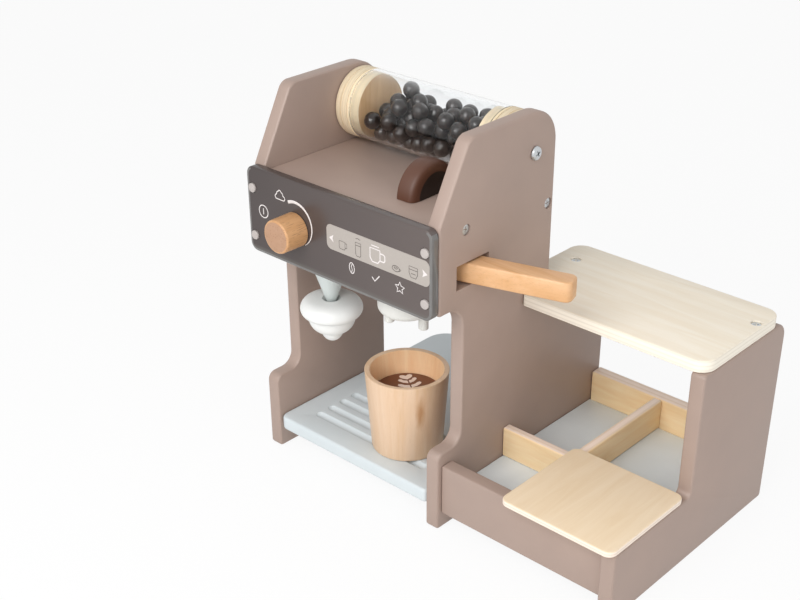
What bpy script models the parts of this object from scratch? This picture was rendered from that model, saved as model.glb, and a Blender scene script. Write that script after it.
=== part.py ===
"""Toy coffee maker of painted boards, with a bean drum, a portafilter, a milk nozzle and a side station.

Lengths are in metres. The bench frame has X to the right, Y to the back and Z up. Its origin is on
the surface that the toy stands on, in the middle of the machine's width, under its front feet.
Everything hangs from one empty, which moves that frame to the middle of the whole toy's floor area.
"""

import math

import bmesh
import bpy
from mathutils import Matrix, Vector

# Boards and fits
board = 0.012
thin_board = 0.008
fit_gap = 0.0003
panel_edge = 0.0018
natural_edge = 0.0012
through = 0.002

# Machine
bay_width = 0.164
machine_height = 0.3088
machine_depth = 0.1284
toy_depth = 0.2085
foot_height = 0.068
neck_setback = 0.0265
brow_drop = 0.0578
top_board_drop = 0.0602
brew_head_height = 0.0168
handle_drop = 0.0115
slot_height = 0.019
slot_sill = 0.009
crown_setback = 0.031
foot_corner = 0.007
neck_fillet = 0.011
head_fillet = 0.004
brow_corner = 0.004
crown_corner = 0.009
sole_corner = 0.003
nape_corner = 0.027
brow_height = machine_height - brow_drop
top_board_height = machine_height - top_board_drop
top_board_low = top_board_height - board
bowl_top = top_board_low - brew_head_height - fit_gap
handle_mid = bowl_top - handle_drop
slot_low = handle_mid - slot_height / 2
slot_high = slot_low + slot_height
head_bottom = slot_low - slot_sill

# Rear extension of the right panel, which carries the shelf
shelf_underside = 0.1585
extension_corner = 0.012
extension_fillet = 0.0009

# Slot that the portafilter handle passes through
slot_front = 0.0185
slot_back = 0.054
slot_corner = 0.0012

# Top board, rear rail and base board
rear_rail_height = 0.0304
base_top = 0.031
base_front_corner = 0.004
base_back_corner = 0.022
base_plain_corner = 0.0045
base_edge = 0.0022
groove_half_length = 0.061
groove_width = 0.0064
groove_depth = 0.0024
first_groove = 0.0237
groove_pitch = 0.0139
groove_count = 4
rear_rail_low = top_board_height - rear_rail_height

# Control plate and its four screws
plate_thickness = 0.0074
plate_overlap = 0.0065
plate_height = 0.0695
plate_corner = 0.007
plate_edge = 0.0008
plate_screw_rise = 0.0133
plate_screw_drop = 0.0172
plate_low = head_bottom - plate_overlap
plate_high = plate_low + plate_height
plate_screw_low = plate_low + plate_screw_rise
plate_screw_high = plate_high - plate_screw_drop

# Dial
dial_x = -0.0415
dial_rise = 0.0318
dial_radius = 0.0133
dial_taper = 0.0002
dial_length = 0.0203
dial_edge = 0.0016
dial_bolt_radius = 0.0025
dial_bolt_depth = 0.012
dial_bolt_head_radius = 0.0045
dial_bolt_head = 0.003
dial_height = plate_low + dial_rise

# Screws
screw_radius = 0.0018
screw_head_radius = 0.0037
screw_head = 0.0024
screw_length = 0.026
cap_radius = 0.0037
cap_height = 0.0016
drum_screw_radius = 0.003
drum_screw_head_radius = 0.0054
drum_screw_head = 0.0034
drum_screw_bite = 0.009

# Bean drum
drum_setback = 0.0252
drum_clearance = 0.0016
drum_radius = 0.0278
drum_side_gap = 0.0008
drum_disc = 0.012
drum_disc_edge = 0.0012
tube_wall = 0.0022
plug_flange = 0.0021
plug_depth = 0.0095
bead_radius = 0.0065
bead_pitch = 0.0111
bead_slice_pitch = 0.0108
bead_slice_turn = math.radians(9)
bead_end_gap = 0.0009
drum_y = machine_depth - drum_setback
drum_height = top_board_height + drum_clearance + drum_radius

# Half disc on the top board
half_disc_x = 0.038
half_disc_y = 0.0503
half_disc_radius = 0.0248
half_disc_thickness = 0.0162
half_disc_dome_share = 0.32
half_disc_edge = 0.0015

# Brewing head and portafilter
brew_x = 0.0405
brew_y = 0.0243
brew_head_radius = 0.019
tenon_radius = 0.007
tenon_length = 0.0075
bowl_radius = 0.0216
bowl_height = 0.0575
bowl_round = 0.007
bowl_rim_round = 0.0012
pivot_radius = 0.0025
pivot_head_radius = 0.0052
pivot_head = 0.0035
pivot_pocket = 0.0055
spout_radius = 0.0038
spout_length = 0.0115
spout_offset = 0.0142
spout_seat = 0.008
spout_edge = 0.0008
handle_angle = math.radians(16.5)
handle_width = 0.018
handle_thickness = 0.0156
handle_end_share = 0.94
handle_start = 0.011
handle_reach = 0.130
handle_corner = 0.0055
handle_edge = 0.0014
bowl_low = bowl_top - bowl_height
spout_low = bowl_low - spout_length

# Milk nozzle and foam swirl
nozzle_x = -0.0405
nozzle_y = 0.025
nozzle_shoulder_radius = 0.0175
nozzle_neck = 0.0526
nozzle_tip_radius = 0.0035
nozzle_cone = 0.0418
magnet_radius = 0.0022
magnet_height = 0.0025
foam_tip_height = 0.0093
foam_second_tier = 0.0135
foam_third_tier = 0.0063
foam_crown_height = 0.0088
socket_depth = 0.004
socket_drop = 0.001
foam_radius = 0.0249
foam_second_radius = 0.0192
foam_third_radius = 0.0088
foam_crown_radius = 0.0150
socket_radius = 0.0069
nozzle_shoulder = top_board_low - nozzle_neck
nozzle_tip = nozzle_shoulder - nozzle_cone
foam_top = nozzle_tip + socket_depth
socket_rim = foam_top - socket_drop
foam_waist = foam_top - foam_crown_height
foam_second_joint = foam_waist - foam_third_tier
foam_first_joint = foam_second_joint - foam_second_tier
foam_tip = foam_first_joint - foam_tip_height

# Cup and coffee
cup_x = 0.0255
cup_y = 0.041
cup_height_share = 0.5774
cup_rim_radius = 0.0344
cup_base_radius = 0.0285
cup_wall = 0.0044
cup_floor = 0.009
cup_edge = 0.0008
coffee_level_share = 0.7131
coffee_thickness = 0.0055
ledge_width = 0.003
cup_height = (spout_low - base_top) * cup_height_share
coffee_level = cup_height * coffee_level_share

# Side station
station_width = 0.149
station_wall_top = 0.0575
rail_low = 0.0143
rail_setback = 0.004
rail_edge = 0.0015
cross_divider_y = 0.0773
long_divider_x = 0.1565
divider_edge = 0.0015
lid_left = 0.1572
lid_front = -0.0052
lid_back = 0.0873
lid_thickness = 0.005
lid_corner = 0.007
lid_edge = 0.0012
shelf_thickness = 0.0098
shelf_front = 0.095
shelf_back = 0.1995
shelf_overhang = 0.0115
shelf_corner = 0.012
shelf_edge = 0.0012
shelf_screw_y = 0.1716
end_step_fillet = 0.005
dowel_radius = 0.003
dowel_bite = 0.012

# Facets
fine_steps = 30
steps = 22
small_steps = 10
corner_steps = 3
wide_corner_steps = 6
wide_corner = 0.0065

# Places that follow from the sizes above
inner_x = bay_width / 2
outer_x = inner_x + board
station_start = outer_x + fit_gap
end_inner_x = outer_x + station_width
end_outer_x = end_inner_x + board
dial_front = -fit_gap - plate_thickness - fit_gap - dial_length
screw_out = outer_x + fit_gap + drum_screw_head
origin_x = (end_outer_x - screw_out) / 2
origin_y = (toy_depth + dial_front) / 2
socket_floor = nozzle_tip - fit_gap
rear_rail_front = machine_depth - board
base_low = base_top - board

# Directions that a flat outline or a turned profile can face
FLAT = Matrix.Identity(3)
SIDE = Matrix(((0, 0, 1), (1, 0, 0), (0, 1, 0)))
SIDE_LEFT = Matrix(((0, 0, -1), (-1, 0, 0), (0, 1, 0)))
FRONT = Matrix(((1, 0, 0), (0, 0, -1), (0, 1, 0)))
DOWN = Matrix(((1, 0, 0), (0, -1, 0), (0, 0, -1)))


def clear_scene():
    for obj in list(bpy.data.objects):
        bpy.data.objects.remove(obj, do_unlink=True)


def new_collection(name):
    collection = bpy.data.collections.new(name)
    bpy.context.scene.collection.children.link(collection)
    return collection


def linear(code):
    """Linear colour of an sRGB hex code."""
    values = [int(code[i : i + 2], 16) / 255 for i in (1, 3, 5)]
    return [v / 12.92 if v <= 0.04045 else ((v + 0.055) / 1.055) ** 2.4 for v in values]


def finish(name, code, roughness, metallic=0.0, alpha=1.0):
    material = bpy.data.materials.new(name)
    material.use_nodes = True
    shader = material.node_tree.nodes["Principled BSDF"]
    shader.inputs["Base Color"].default_value = (*linear(code), 1.0)
    shader.inputs["Roughness"].default_value = roughness
    shader.inputs["Metallic"].default_value = metallic
    shader.inputs["Alpha"].default_value = alpha
    return material


def place(obj, at, facing, parent):
    obj.matrix_local = Matrix.Translation(at) @ facing.to_4x4()
    obj.parent = parent


def axis_empty(name, at, turn=0.0):
    """An empty on a joint's axis, for the pieces that move together."""
    empty = bpy.data.objects.new(name, None)
    parts.objects.link(empty)
    empty.location = at
    empty.rotation_euler = (0, 0, turn)
    empty.parent = bench
    return empty


def shade(obj):
    mesh = obj.data
    mesh.shade_smooth()
    mesh.set_sharp_from_angle(angle=math.radians(35))


def add_object(name, mesh, material, at=(0, 0, 0), facing=FLAT, parent=None):
    obj = bpy.data.objects.new(name, mesh)
    if material:
        mesh.materials.append(material)
        parts.objects.link(obj)
    else:
        cutters.objects.link(obj)
        obj.hide_render = True
        obj.display_type = "WIRE"
    place(obj, at, facing, parent or bench)
    return obj


def round_edges(obj, width, segments=2):
    bevel = obj.modifiers.new("rounded_edges", "BEVEL")
    bevel.width = width
    bevel.segments = segments
    bevel.limit_method = "ANGLE"
    bevel.angle_limit = math.radians(50)
    return bevel


def rounded(corners):
    """Points of a closed outline given as corners (u, v, radius), the radius 0 for a sharp one."""
    points = []
    for i, (u, v, radius) in enumerate(corners):
        here = Vector((u, v))
        if not radius:
            points.append(here)
            continue
        to_before = (Vector(corners[i - 1][:2]) - here).normalized()
        to_after = (Vector(corners[(i + 1) % len(corners)][:2]) - here).normalized()
        half = to_before.angle(to_after) / 2
        centre = here + (to_before + to_after).normalized() * (radius / math.sin(half))
        reach = radius / math.tan(half)
        start = here + to_before * reach - centre
        end = here + to_after * reach - centre
        first = math.atan2(start.y, start.x)
        sweep = (math.atan2(end.y, end.x) - first + math.pi) % math.tau - math.pi
        count = wide_corner_steps if radius > wide_corner else corner_steps
        for k in range(count + 1):
            angle = first + sweep * k / count
            points.append(centre + radius * Vector((math.cos(angle), math.sin(angle))))
    return points


def flat_mesh(name, outlines, thickness):
    """A board of one outline and its holes, as a welded mesh, centred in its thickness."""
    curve = bpy.data.curves.new(name, "CURVE")
    curve.dimensions = "2D"
    curve.fill_mode = "BOTH"
    curve.extrude = thickness / 2
    for outline in outlines:
        spline = curve.splines.new("POLY")
        spline.points.add(len(outline) - 1)
        for point, place_on in zip(spline.points, outline):
            point.co = (place_on.x, place_on.y, 0, 1)
        spline.use_cyclic_u = True
    drawn = bpy.data.objects.new(name + "_outline", curve)
    parts.objects.link(drawn)
    graph = bpy.context.evaluated_depsgraph_get()
    mesh = bpy.data.meshes.new_from_object(drawn.evaluated_get(graph))
    bpy.data.objects.remove(drawn)
    shell = bmesh.new()
    shell.from_mesh(mesh)
    bmesh.ops.remove_doubles(shell, verts=shell.verts, dist=fit_gap / 30)
    bmesh.ops.dissolve_limit(
        shell, angle_limit=math.radians(1), verts=shell.verts, edges=shell.edges
    )
    bmesh.ops.recalc_face_normals(shell, faces=shell.faces)
    shell.to_mesh(mesh)
    shell.free()
    mesh.name = name
    return mesh


def flat_board(name, outlines, thickness, material, at, facing, edge, parent=None):
    mesh = flat_mesh(name, outlines, thickness)
    obj = add_object(name, mesh, material, at, facing, parent)
    if edge:
        round_edges(obj, edge)
    shade(obj)
    return obj


def box_mesh(name, low, high):
    low = Vector(low)
    high = Vector(high)
    shell = bmesh.new()
    bmesh.ops.create_cube(shell, size=1)
    sides = high - low
    bmesh.ops.scale(shell, vec=sides, verts=shell.verts)
    bmesh.ops.translate(shell, vec=(low + high) / 2, verts=shell.verts)
    mesh = bpy.data.meshes.new(name)
    shell.to_mesh(mesh)
    shell.free()
    return mesh


def box(name, low, high, material, edge, parent=None):
    obj = add_object(name, box_mesh(name, low, high), material, parent=parent)
    round_edges(obj, edge)
    shade(obj)
    return obj


def turned(name, profile, material, at, facing=FLAT, parent=None, count=None, closed=False):
    """A turned piece. The profile is (radius, height) from top to bottom down the outer side."""
    mesh = bpy.data.meshes.new(name)
    points = [(radius, 0, height) for radius, height in profile]
    edges = [(i, i + 1) for i in range(len(points) - 1)]
    if closed:
        edges.append((len(points) - 1, 0))
    mesh.from_pydata(points, edges, [])
    obj = add_object(name, mesh, material, at, facing, parent)
    screw = obj.modifiers.new("turned", "SCREW")
    screw.steps = count or steps
    screw.render_steps = screw.steps
    screw.use_merge_vertices = True
    screw.merge_threshold = fit_gap / 30
    screw.use_smooth_shade = True
    return obj


def arc(centre_radius, centre_height, radius, height, first, last, count):
    """Points on an ellipse of half axes radius and height, from one angle to another in degrees."""
    points = []
    for k in range(count + 1):
        angle = math.radians(first + (last - first) * k / count)
        u = centre_radius + radius * math.cos(angle)
        v = centre_height + height * math.sin(angle)
        points.append((max(u, 0.0), v))
    return points


def screw_profile(radius, head_radius, head, length):
    """A screw along -Z with its head's underside at height 0."""
    dome = arc(0, 0, head_radius, head, 90, 0, 3)
    return dome + [(radius, 0), (radius, -length), (0, -length)]


def sunk_profile(radius, head_radius, head, length):
    """A countersunk screw along -Z with its flat head's top at height 0."""
    return [(0, 0), (head_radius, 0), (radius, -head), (radius, -length), (0, -length)]


def grown(profile, gap, lead):
    """A cutter for a turned piece: its profile, larger by the gap, with a lead past its top."""
    (_, top), *rest = profile
    outer = [(radius + gap, height) for radius, height in rest[:-1]]
    return [
        (0, top + lead),
        (outer[0][0], top + lead),
        *outer[:-1],
        (outer[-1][0], outer[-1][1] - gap),
        (0, outer[-1][1] - gap),
    ]


def cut(target, cutter):
    hole = target.modifiers.new("cut_by_" + cutter.name, "BOOLEAN")
    hole.operation = "DIFFERENCE"
    hole.object = cutter


def round_hole(targets, name, radius, low, high, at, facing, count=None, parent=None):
    profile = [(0, high), (radius, high), (radius, low), (0, low)]
    cutter = turned(name, profile, None, at, facing, parent, count or small_steps)
    for target in targets:
        cut(target, cutter)


def fastener(name, profile, at, facing, targets, lead, parent=None):
    """A screw and the hole for it in every board that it goes through."""
    obj = turned(name, profile, steel, at, facing, parent, small_steps)
    cutter = turned(name + "_hole", grown(profile, fit_gap, lead), None, at, facing, parent, small_steps)
    for target in targets:
        cut(target, cutter)
    return obj


def box_cut(target, name, low, high, parent=None):
    cutter = add_object(name, box_mesh(name, low, high), None, parent=parent)
    cut(target, cutter)


def panel_front():
    """The front of both side panels from the sole up to the crown, as outline corners."""
    return [
        (0, 0, sole_corner),
        (0, foot_height, foot_corner),
        (neck_setback, foot_height, neck_fillet),
        (neck_setback, head_bottom, head_fillet),
        (0, head_bottom, sole_corner),
        (0, brow_height, brow_corner),
        (crown_setback, machine_height, crown_corner),
        (machine_depth, machine_height, nape_corner),
    ]


def build_panels():
    left = panel_front() + [(machine_depth, 0, sole_corner)]
    right = panel_front() + [
        (machine_depth, shelf_underside - fit_gap, extension_fillet),
        (toy_depth, shelf_underside - fit_gap, extension_corner),
        (toy_depth, 0, sole_corner),
    ]
    slot = [
        (slot_front, slot_low, slot_corner),
        (slot_back, slot_low, slot_corner),
        (slot_back, slot_high, slot_corner),
        (slot_front, slot_high, slot_corner),
    ]
    middle = inner_x + board / 2
    left_panel = flat_board(
        "left_side_panel", [rounded(left)], board, painted, (-middle, 0, 0), SIDE, panel_edge
    )
    right_panel = flat_board(
        "right_side_panel",
        [rounded(right), rounded(slot)],
        board,
        painted,
        (middle, 0, 0),
        SIDE,
        panel_edge,
    )
    return left_panel, right_panel


def build_boards():
    side = inner_x - fit_gap
    top = box(
        "top_board",
        (-side, fit_gap, top_board_low),
        (side, rear_rail_front - fit_gap, top_board_height),
        painted,
        natural_edge,
    )
    rear = box(
        "rear_rail",
        (-side, rear_rail_front, rear_rail_low),
        (side, machine_depth, top_board_height),
        painted,
        natural_edge,
    )
    outline = [
        (-side, 0, base_front_corner),
        (side, 0, base_front_corner),
        (side, toy_depth, base_plain_corner),
        (-side, toy_depth, base_back_corner),
    ]
    base = flat_board(
        "base_board",
        [rounded(outline)],
        board,
        grey_paint,
        (0, 0, base_top - board / 2),
        FLAT,
        base_edge,
    )
    straight = groove_half_length - groove_width / 2
    for i in range(groove_count):
        y = first_groove + i * groove_pitch
        channel = [
            (-groove_half_length, -groove_width / 2, straight / 20),
            (groove_half_length, -groove_width / 2, straight / 20),
            (groove_half_length, groove_width / 2, straight / 20),
            (-groove_half_length, groove_width / 2, straight / 20),
        ]
        mesh = flat_mesh(f"groove_{i + 1}", [rounded(channel)], groove_depth * 2)
        cutter = add_object(f"groove_{i + 1}", mesh, None, (0, y, base_top))
        cut(base, cutter)
    return top, rear, base


def build_control_plate(left_panel, right_panel):
    outline = [
        (-outer_x, plate_low, plate_corner),
        (outer_x, plate_low, plate_corner),
        (outer_x, plate_high, plate_corner),
        (-outer_x, plate_high, plate_corner),
    ]
    middle = -fit_gap - plate_thickness / 2
    plate = flat_board(
        "control_plate", [rounded(outline)], plate_thickness, acrylic, (0, middle, 0), FRONT, plate_edge
    )
    front = -fit_gap - plate_thickness - fit_gap
    length = plate_thickness + board
    profile = screw_profile(screw_radius, cap_radius, cap_height, length)
    number = 0
    for height in (plate_screw_high, plate_screw_low):
        for sign, panel in ((-1, left_panel), (1, right_panel)):
            number += 1
            at = (sign * (inner_x + board / 2), front, height)
            fastener(f"plate_screw_{number}", profile, at, FRONT, (plate, panel), 0)
    return plate


def build_dial(plate):
    axis = axis_empty("dial_axis", (dial_x, 0, dial_height))
    back = fit_gap + plate_thickness + fit_gap
    front = back + dial_length
    nose = dial_radius - dial_taper
    profile = [
        (0, front),
        *arc(nose - dial_edge, front - dial_edge, dial_edge, dial_edge, 90, 0, 4),
        *arc(dial_radius - dial_edge / 2, back + dial_edge / 2, dial_edge / 2, dial_edge / 2, 0, -90, 2),
        (0, back),
    ]
    knob = turned("dial_knob", profile, beech, (0, 0, 0), FRONT, axis, fine_steps)
    reach = back + dial_bolt_depth
    bolt = [
        (0, reach),
        (dial_bolt_radius, reach),
        (dial_bolt_radius, -fit_gap),
        (dial_bolt_head_radius, -fit_gap),
        (dial_bolt_head_radius, -fit_gap - dial_bolt_head),
        (0, -fit_gap - dial_bolt_head),
    ]
    turned("dial_bolt", bolt, steel, (0, 0, 0), FRONT, axis, small_steps)
    bore = dial_bolt_radius + fit_gap
    round_hole(
        (knob, plate), "dial_bore", bore, -through, reach + fit_gap, (0, 0, 0), FRONT, parent=axis
    )


def build_half_disc(top_board):
    """A half disc with one domed side, standing on its cut edge."""
    rise = half_disc_radius * half_disc_dome_share
    dome = half_disc_thickness * half_disc_dome_share
    side = half_disc_thickness / 2
    profile = [
        (0, side),
        *arc(half_disc_radius - rise, side - dome, rise, dome, 90, 0, 5),
        *arc(half_disc_radius - half_disc_edge, half_disc_edge - side, half_disc_edge, half_disc_edge, 0, -90, 2),
        (0, -side),
    ]
    at = (half_disc_x, half_disc_y, top_board_height + fit_gap)
    disc = turned("half_disc", profile, chocolate, at, SIDE, None, fine_steps)
    reach = half_disc_radius + through
    box_cut(
        disc,
        "half_disc_waste",
        (half_disc_x - reach, half_disc_y - reach, top_board_height + fit_gap - reach),
        (half_disc_x + reach, half_disc_y + reach, top_board_height + fit_gap),
    )
    profile = screw_profile(screw_radius, screw_head_radius, screw_head, board + dial_bolt_depth)
    at = (half_disc_x, half_disc_y, top_board_low - fit_gap)
    fastener("half_disc_screw", profile, at, DOWN, (disc, top_board), 0)


def drum_end(name, sign, axis):
    """The wooden disc of one end and the plug that closes the tube there."""
    facing = SIDE if sign > 0 else SIDE_LEFT
    outside = inner_x - drum_side_gap
    inside = outside - drum_disc
    bore = drum_screw_radius + fit_gap
    edge = drum_disc_edge
    disc = [
        (bore, outside),
        *arc(drum_radius - edge, outside - edge, edge, edge, 90, 0, 2),
        *arc(drum_radius - edge, inside + edge, edge, edge, 0, -90, 2),
        (bore, inside),
    ]
    turned("drum_disc_" + name, disc, birch, (0, 0, 0), facing, axis, fine_steps, closed=True)
    flange = inside - fit_gap
    step = flange - plug_flange
    nose = step - plug_depth
    body = drum_radius - tube_wall - fit_gap
    plug = [
        (0, flange),
        (drum_radius - edge / 2, flange),
        (drum_radius, flange - edge / 2),
        (drum_radius, step),
        (body, step),
        (body, nose),
        (0, nose),
    ]
    turned("drum_plug_" + name, plug, birch, (0, 0, 0), facing, axis, fine_steps)
    return step, nose


def bead_places(inner_end):
    """Bead centres round the drum's axis: four along the wall, one on them, and two on every other slice."""
    lane = drum_radius - tube_wall - bead_radius - fit_gap
    spread = 2 * math.asin(bead_pitch / 2 / lane)
    row = inner_end - bead_radius - bead_end_gap
    count = int(2 * row / bead_slice_pitch) + 1
    first = -bead_slice_pitch * (count - 1) / 2
    low = lane * math.cos(spread / 2)
    middle = low - bead_pitch * math.cos(math.radians(30))
    for i in range(count):
        x = first + i * bead_slice_pitch
        turn = bead_slice_turn * math.sin(i * 2.1)
        slice_places = []
        for k in (-1.5, -0.5, 0.5, 1.5):
            slice_places.append((lane * math.sin(k * spread), -lane * math.cos(k * spread)))
        slice_places.append((0, -middle))
        if i % 2:
            side = bead_pitch * math.cos(math.radians(40))
            rise = bead_pitch * math.sin(math.radians(40))
            slice_places.append((-side, -middle + rise))
            slice_places.append((side, -middle + rise))
        for y, z in slice_places:
            yield Vector(
                (x, y * math.cos(turn) - z * math.sin(turn), y * math.sin(turn) + z * math.cos(turn))
            )


def build_drum(left_panel, right_panel):
    axis = axis_empty("drum_axis", (0, drum_y, drum_height))
    step, nose = drum_end("right", 1, axis)
    drum_end("left", -1, axis)
    end = step - fit_gap
    wall = [
        (drum_radius - tube_wall, end),
        (drum_radius, end),
        (drum_radius, -end),
        (drum_radius - tube_wall, -end),
    ]
    turned("drum_tube", wall, clear, (0, 0, 0), SIDE, axis, fine_steps, closed=True)
    length = board + drum_side_gap + drum_screw_bite
    profile = screw_profile(drum_screw_radius, drum_screw_head_radius, drum_screw_head, length)
    for name, sign, panel in (("left", -1, left_panel), ("right", 1, right_panel)):
        facing = SIDE if sign > 0 else SIDE_LEFT
        at = (sign * (outer_x + fit_gap), drum_y, drum_height)
        fastener("drum_screw_" + name, profile, at, facing, (panel,), 0)
    build_beads(nose)


def build_beads(inner_end):
    """The heap of wooden beads, which touch each other, as one solid at the bottom of the tube."""
    heap = bpy.data.collections.new("bead_cutters")
    cutters.children.link(heap)
    at = Vector((0, drum_y, drum_height))
    first = None
    for i, centre in enumerate(bead_places(inner_end)):
        ball = bmesh.new()
        bmesh.ops.create_uvsphere(ball, u_segments=7, v_segments=4, radius=bead_radius)
        turn = Matrix.Rotation(i, 3, Vector((1, i % 3, i % 5 + 1)).normalized())
        bmesh.ops.rotate(ball, cent=(0, 0, 0), matrix=turn, verts=ball.verts)
        bmesh.ops.translate(ball, vec=centre, verts=ball.verts)
        mesh = bpy.data.meshes.new(f"bead_{i + 1}")
        ball.to_mesh(mesh)
        ball.free()
        if first is None:
            first = add_object("drum_beads", mesh, bead_paint, at)
            continue
        more = add_object(f"bead_{i + 1}", mesh, None, at)
        cutters.objects.unlink(more)
        heap.objects.link(more)
    joined = first.modifiers.new("touching_beads", "BOOLEAN")
    joined.operation = "UNION"
    joined.operand_type = "COLLECTION"
    joined.collection = heap


def build_brew_head(top_board):
    seat = top_board_low - fit_gap
    low = bowl_top + fit_gap
    bore = pivot_radius + fit_gap
    top = top_board_low + tenon_length
    profile = [
        (bore, top),
        (tenon_radius, top),
        (tenon_radius, seat),
        (brew_head_radius, seat),
        *arc(brew_head_radius - bowl_rim_round, low + bowl_rim_round, bowl_rim_round, bowl_rim_round, 0, -90, 2),
        (bore, low),
    ]
    turned("brew_head", profile, white_paint, (brew_x, brew_y, 0), closed=True)
    for name, x, y in (("brew_mortise", brew_x, brew_y), ("nozzle_mortise", nozzle_x, nozzle_y)):
        round_hole(
            (top_board,),
            name,
            tenon_radius + fit_gap,
            top_board_low - through,
            top + fit_gap,
            (x, y, 0),
            FLAT,
            steps,
        )


def build_portafilter():
    axis = axis_empty("portafilter_axis", (brew_x, brew_y, 0), handle_angle)
    bore = pivot_radius + fit_gap
    pocket = pivot_head_radius + fit_gap
    ceiling = bowl_low + pivot_pocket
    profile = [
        (bore, bowl_top),
        *arc(bowl_radius - bowl_rim_round, bowl_top - bowl_rim_round, bowl_rim_round, bowl_rim_round, 90, 0, 2),
        *arc(bowl_radius - bowl_round, bowl_low + bowl_round, bowl_round, bowl_round, 0, -90, 5),
        (pocket, bowl_low),
        (pocket, ceiling),
        (bore, ceiling),
    ]
    bowl = turned(
        "portafilter_bowl", profile, white_paint, (0, 0, 0), FLAT, axis, fine_steps, closed=True
    )
    half = handle_width / 2 + fit_gap
    low = handle_mid - handle_thickness / 2
    high = handle_mid + handle_thickness / 2
    box_cut(
        bowl,
        "handle_mortise",
        (handle_start - fit_gap, -half, low - fit_gap),
        (bowl_radius + through, half, high + fit_gap),
        axis,
    )
    tip = handle_width / 2 * handle_end_share
    outline = [
        (handle_start, -handle_width / 2, 0),
        (handle_reach, -tip, handle_corner),
        (handle_reach, tip, handle_corner),
        (handle_start, handle_width / 2, 0),
    ]
    flat_board(
        "portafilter_handle",
        [rounded(outline)],
        handle_thickness,
        beech,
        (0, 0, handle_mid),
        FLAT,
        handle_edge,
        axis,
    )
    top = bowl_low + bowl_round / 2 + spout_seat
    for name, sign in (("spout_left", -1), ("spout_right", 1)):
        at = (sign * spout_offset, 0, 0)
        spout = [
            (0, top),
            (spout_radius, top),
            *arc(spout_radius - spout_edge, spout_low + spout_edge, spout_edge, spout_edge, 0, -90, 2),
            (0, spout_low),
        ]
        turned(name, spout, white_paint, at, FLAT, axis, small_steps)
        round_hole(
            (bowl,),
            name + "_seat",
            spout_radius + fit_gap,
            bowl_low - through,
            top + fit_gap,
            at,
            FLAT,
            small_steps,
            axis,
        )
    head = ceiling - fit_gap
    reach = top_board_low + tenon_length - head - fit_gap
    bolt = [
        (0, head + reach),
        (pivot_radius, head + reach),
        (pivot_radius, head),
        (pivot_head_radius, head),
        (pivot_head_radius, head - pivot_head),
        (0, head - pivot_head),
    ]
    turned("portafilter_bolt", bolt, steel, (brew_x, brew_y, 0), count=small_steps)


def build_nozzle():
    seat = top_board_low - fit_gap
    recess = nozzle_tip + magnet_height
    profile = [
        (0, top_board_low + tenon_length),
        (tenon_radius, top_board_low + tenon_length),
        (tenon_radius, seat),
        (nozzle_shoulder_radius, seat),
        (nozzle_shoulder_radius, nozzle_shoulder),
        (nozzle_tip_radius, nozzle_tip),
        (magnet_radius + fit_gap, nozzle_tip),
        (magnet_radius + fit_gap, recess + fit_gap),
        (0, recess + fit_gap),
    ]
    at = (nozzle_x, nozzle_y, 0)
    turned("steam_nozzle", profile, pale_grey, at)
    disc = [(0, recess), (magnet_radius, recess), (magnet_radius, nozzle_tip), (0, nozzle_tip)]
    turned("nozzle_magnet", disc, steel, at, count=small_steps)


def build_foam():
    """The milk foam: three rounded tiers hanging tip down, with a socket and a magnet for the nozzle."""
    axis = axis_empty("foam_axis", (nozzle_x, nozzle_y, 0))
    shoulder = foam_top - foam_waist
    belly = foam_waist - foam_second_joint
    middle = foam_second_joint - foam_first_joint
    tip = foam_first_joint - foam_tip
    swell = foam_radius - foam_crown_radius
    lower = foam_radius - foam_second_radius * math.cos(math.radians(14))
    pocket = socket_floor - magnet_height - fit_gap
    profile = [
        (0, pocket),
        (magnet_radius + fit_gap, pocket),
        (magnet_radius + fit_gap, socket_floor),
        (socket_radius, socket_floor),
        (socket_radius, socket_rim),
        *arc(foam_crown_radius, foam_waist, swell, shoulder, 90, 0, 4),
        *arc(foam_radius - lower, foam_waist, lower, belly, -22, -90, 3),
        *arc(foam_third_radius, foam_second_joint, foam_second_radius - foam_third_radius, middle, -12, -90, 3),
        *arc(0, foam_first_joint, foam_third_radius, tip, -12, -90, 3),
    ]
    turned("foam_swirl", profile, white_paint, (0, 0, 0), FLAT, axis)
    disc = [
        (0, socket_floor),
        (magnet_radius, socket_floor),
        (magnet_radius, socket_floor - magnet_height),
        (0, socket_floor - magnet_height),
    ]
    turned("swirl_magnet", disc, steel, (0, 0, 0), FLAT, axis, small_steps)


def build_cup():
    axis = axis_empty("cup_axis", (cup_x, cup_y, base_top + fit_gap))
    lean = (cup_rim_radius - cup_base_radius) / cup_height
    seat = coffee_level - coffee_thickness - fit_gap
    rim_inner = cup_rim_radius - cup_wall
    seat_radius = rim_inner - (cup_height - seat) * lean
    well_radius = seat_radius - ledge_width
    edge = cup_edge
    profile = [
        (0, cup_floor),
        (well_radius - (seat - cup_floor) * lean, cup_floor),
        (well_radius, seat),
        (seat_radius, seat),
        (rim_inner, cup_height - edge),
        (rim_inner + edge, cup_height),
        (cup_rim_radius - edge, cup_height),
        (cup_rim_radius, cup_height - edge),
        (cup_base_radius, edge),
        (cup_base_radius - edge, 0),
        (0, 0),
    ]
    turned("cup", profile, light_beech, (0, 0, 0), FLAT, axis, fine_steps)
    top = coffee_level
    low = seat + fit_gap
    disc = [(0, top), (seat_radius - fit_gap, top), (seat_radius - fit_gap, low), (0, low)]
    turned("coffee_disc", disc, coffee_paint, (0, 0, 0), FLAT, axis, fine_steps)


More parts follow.
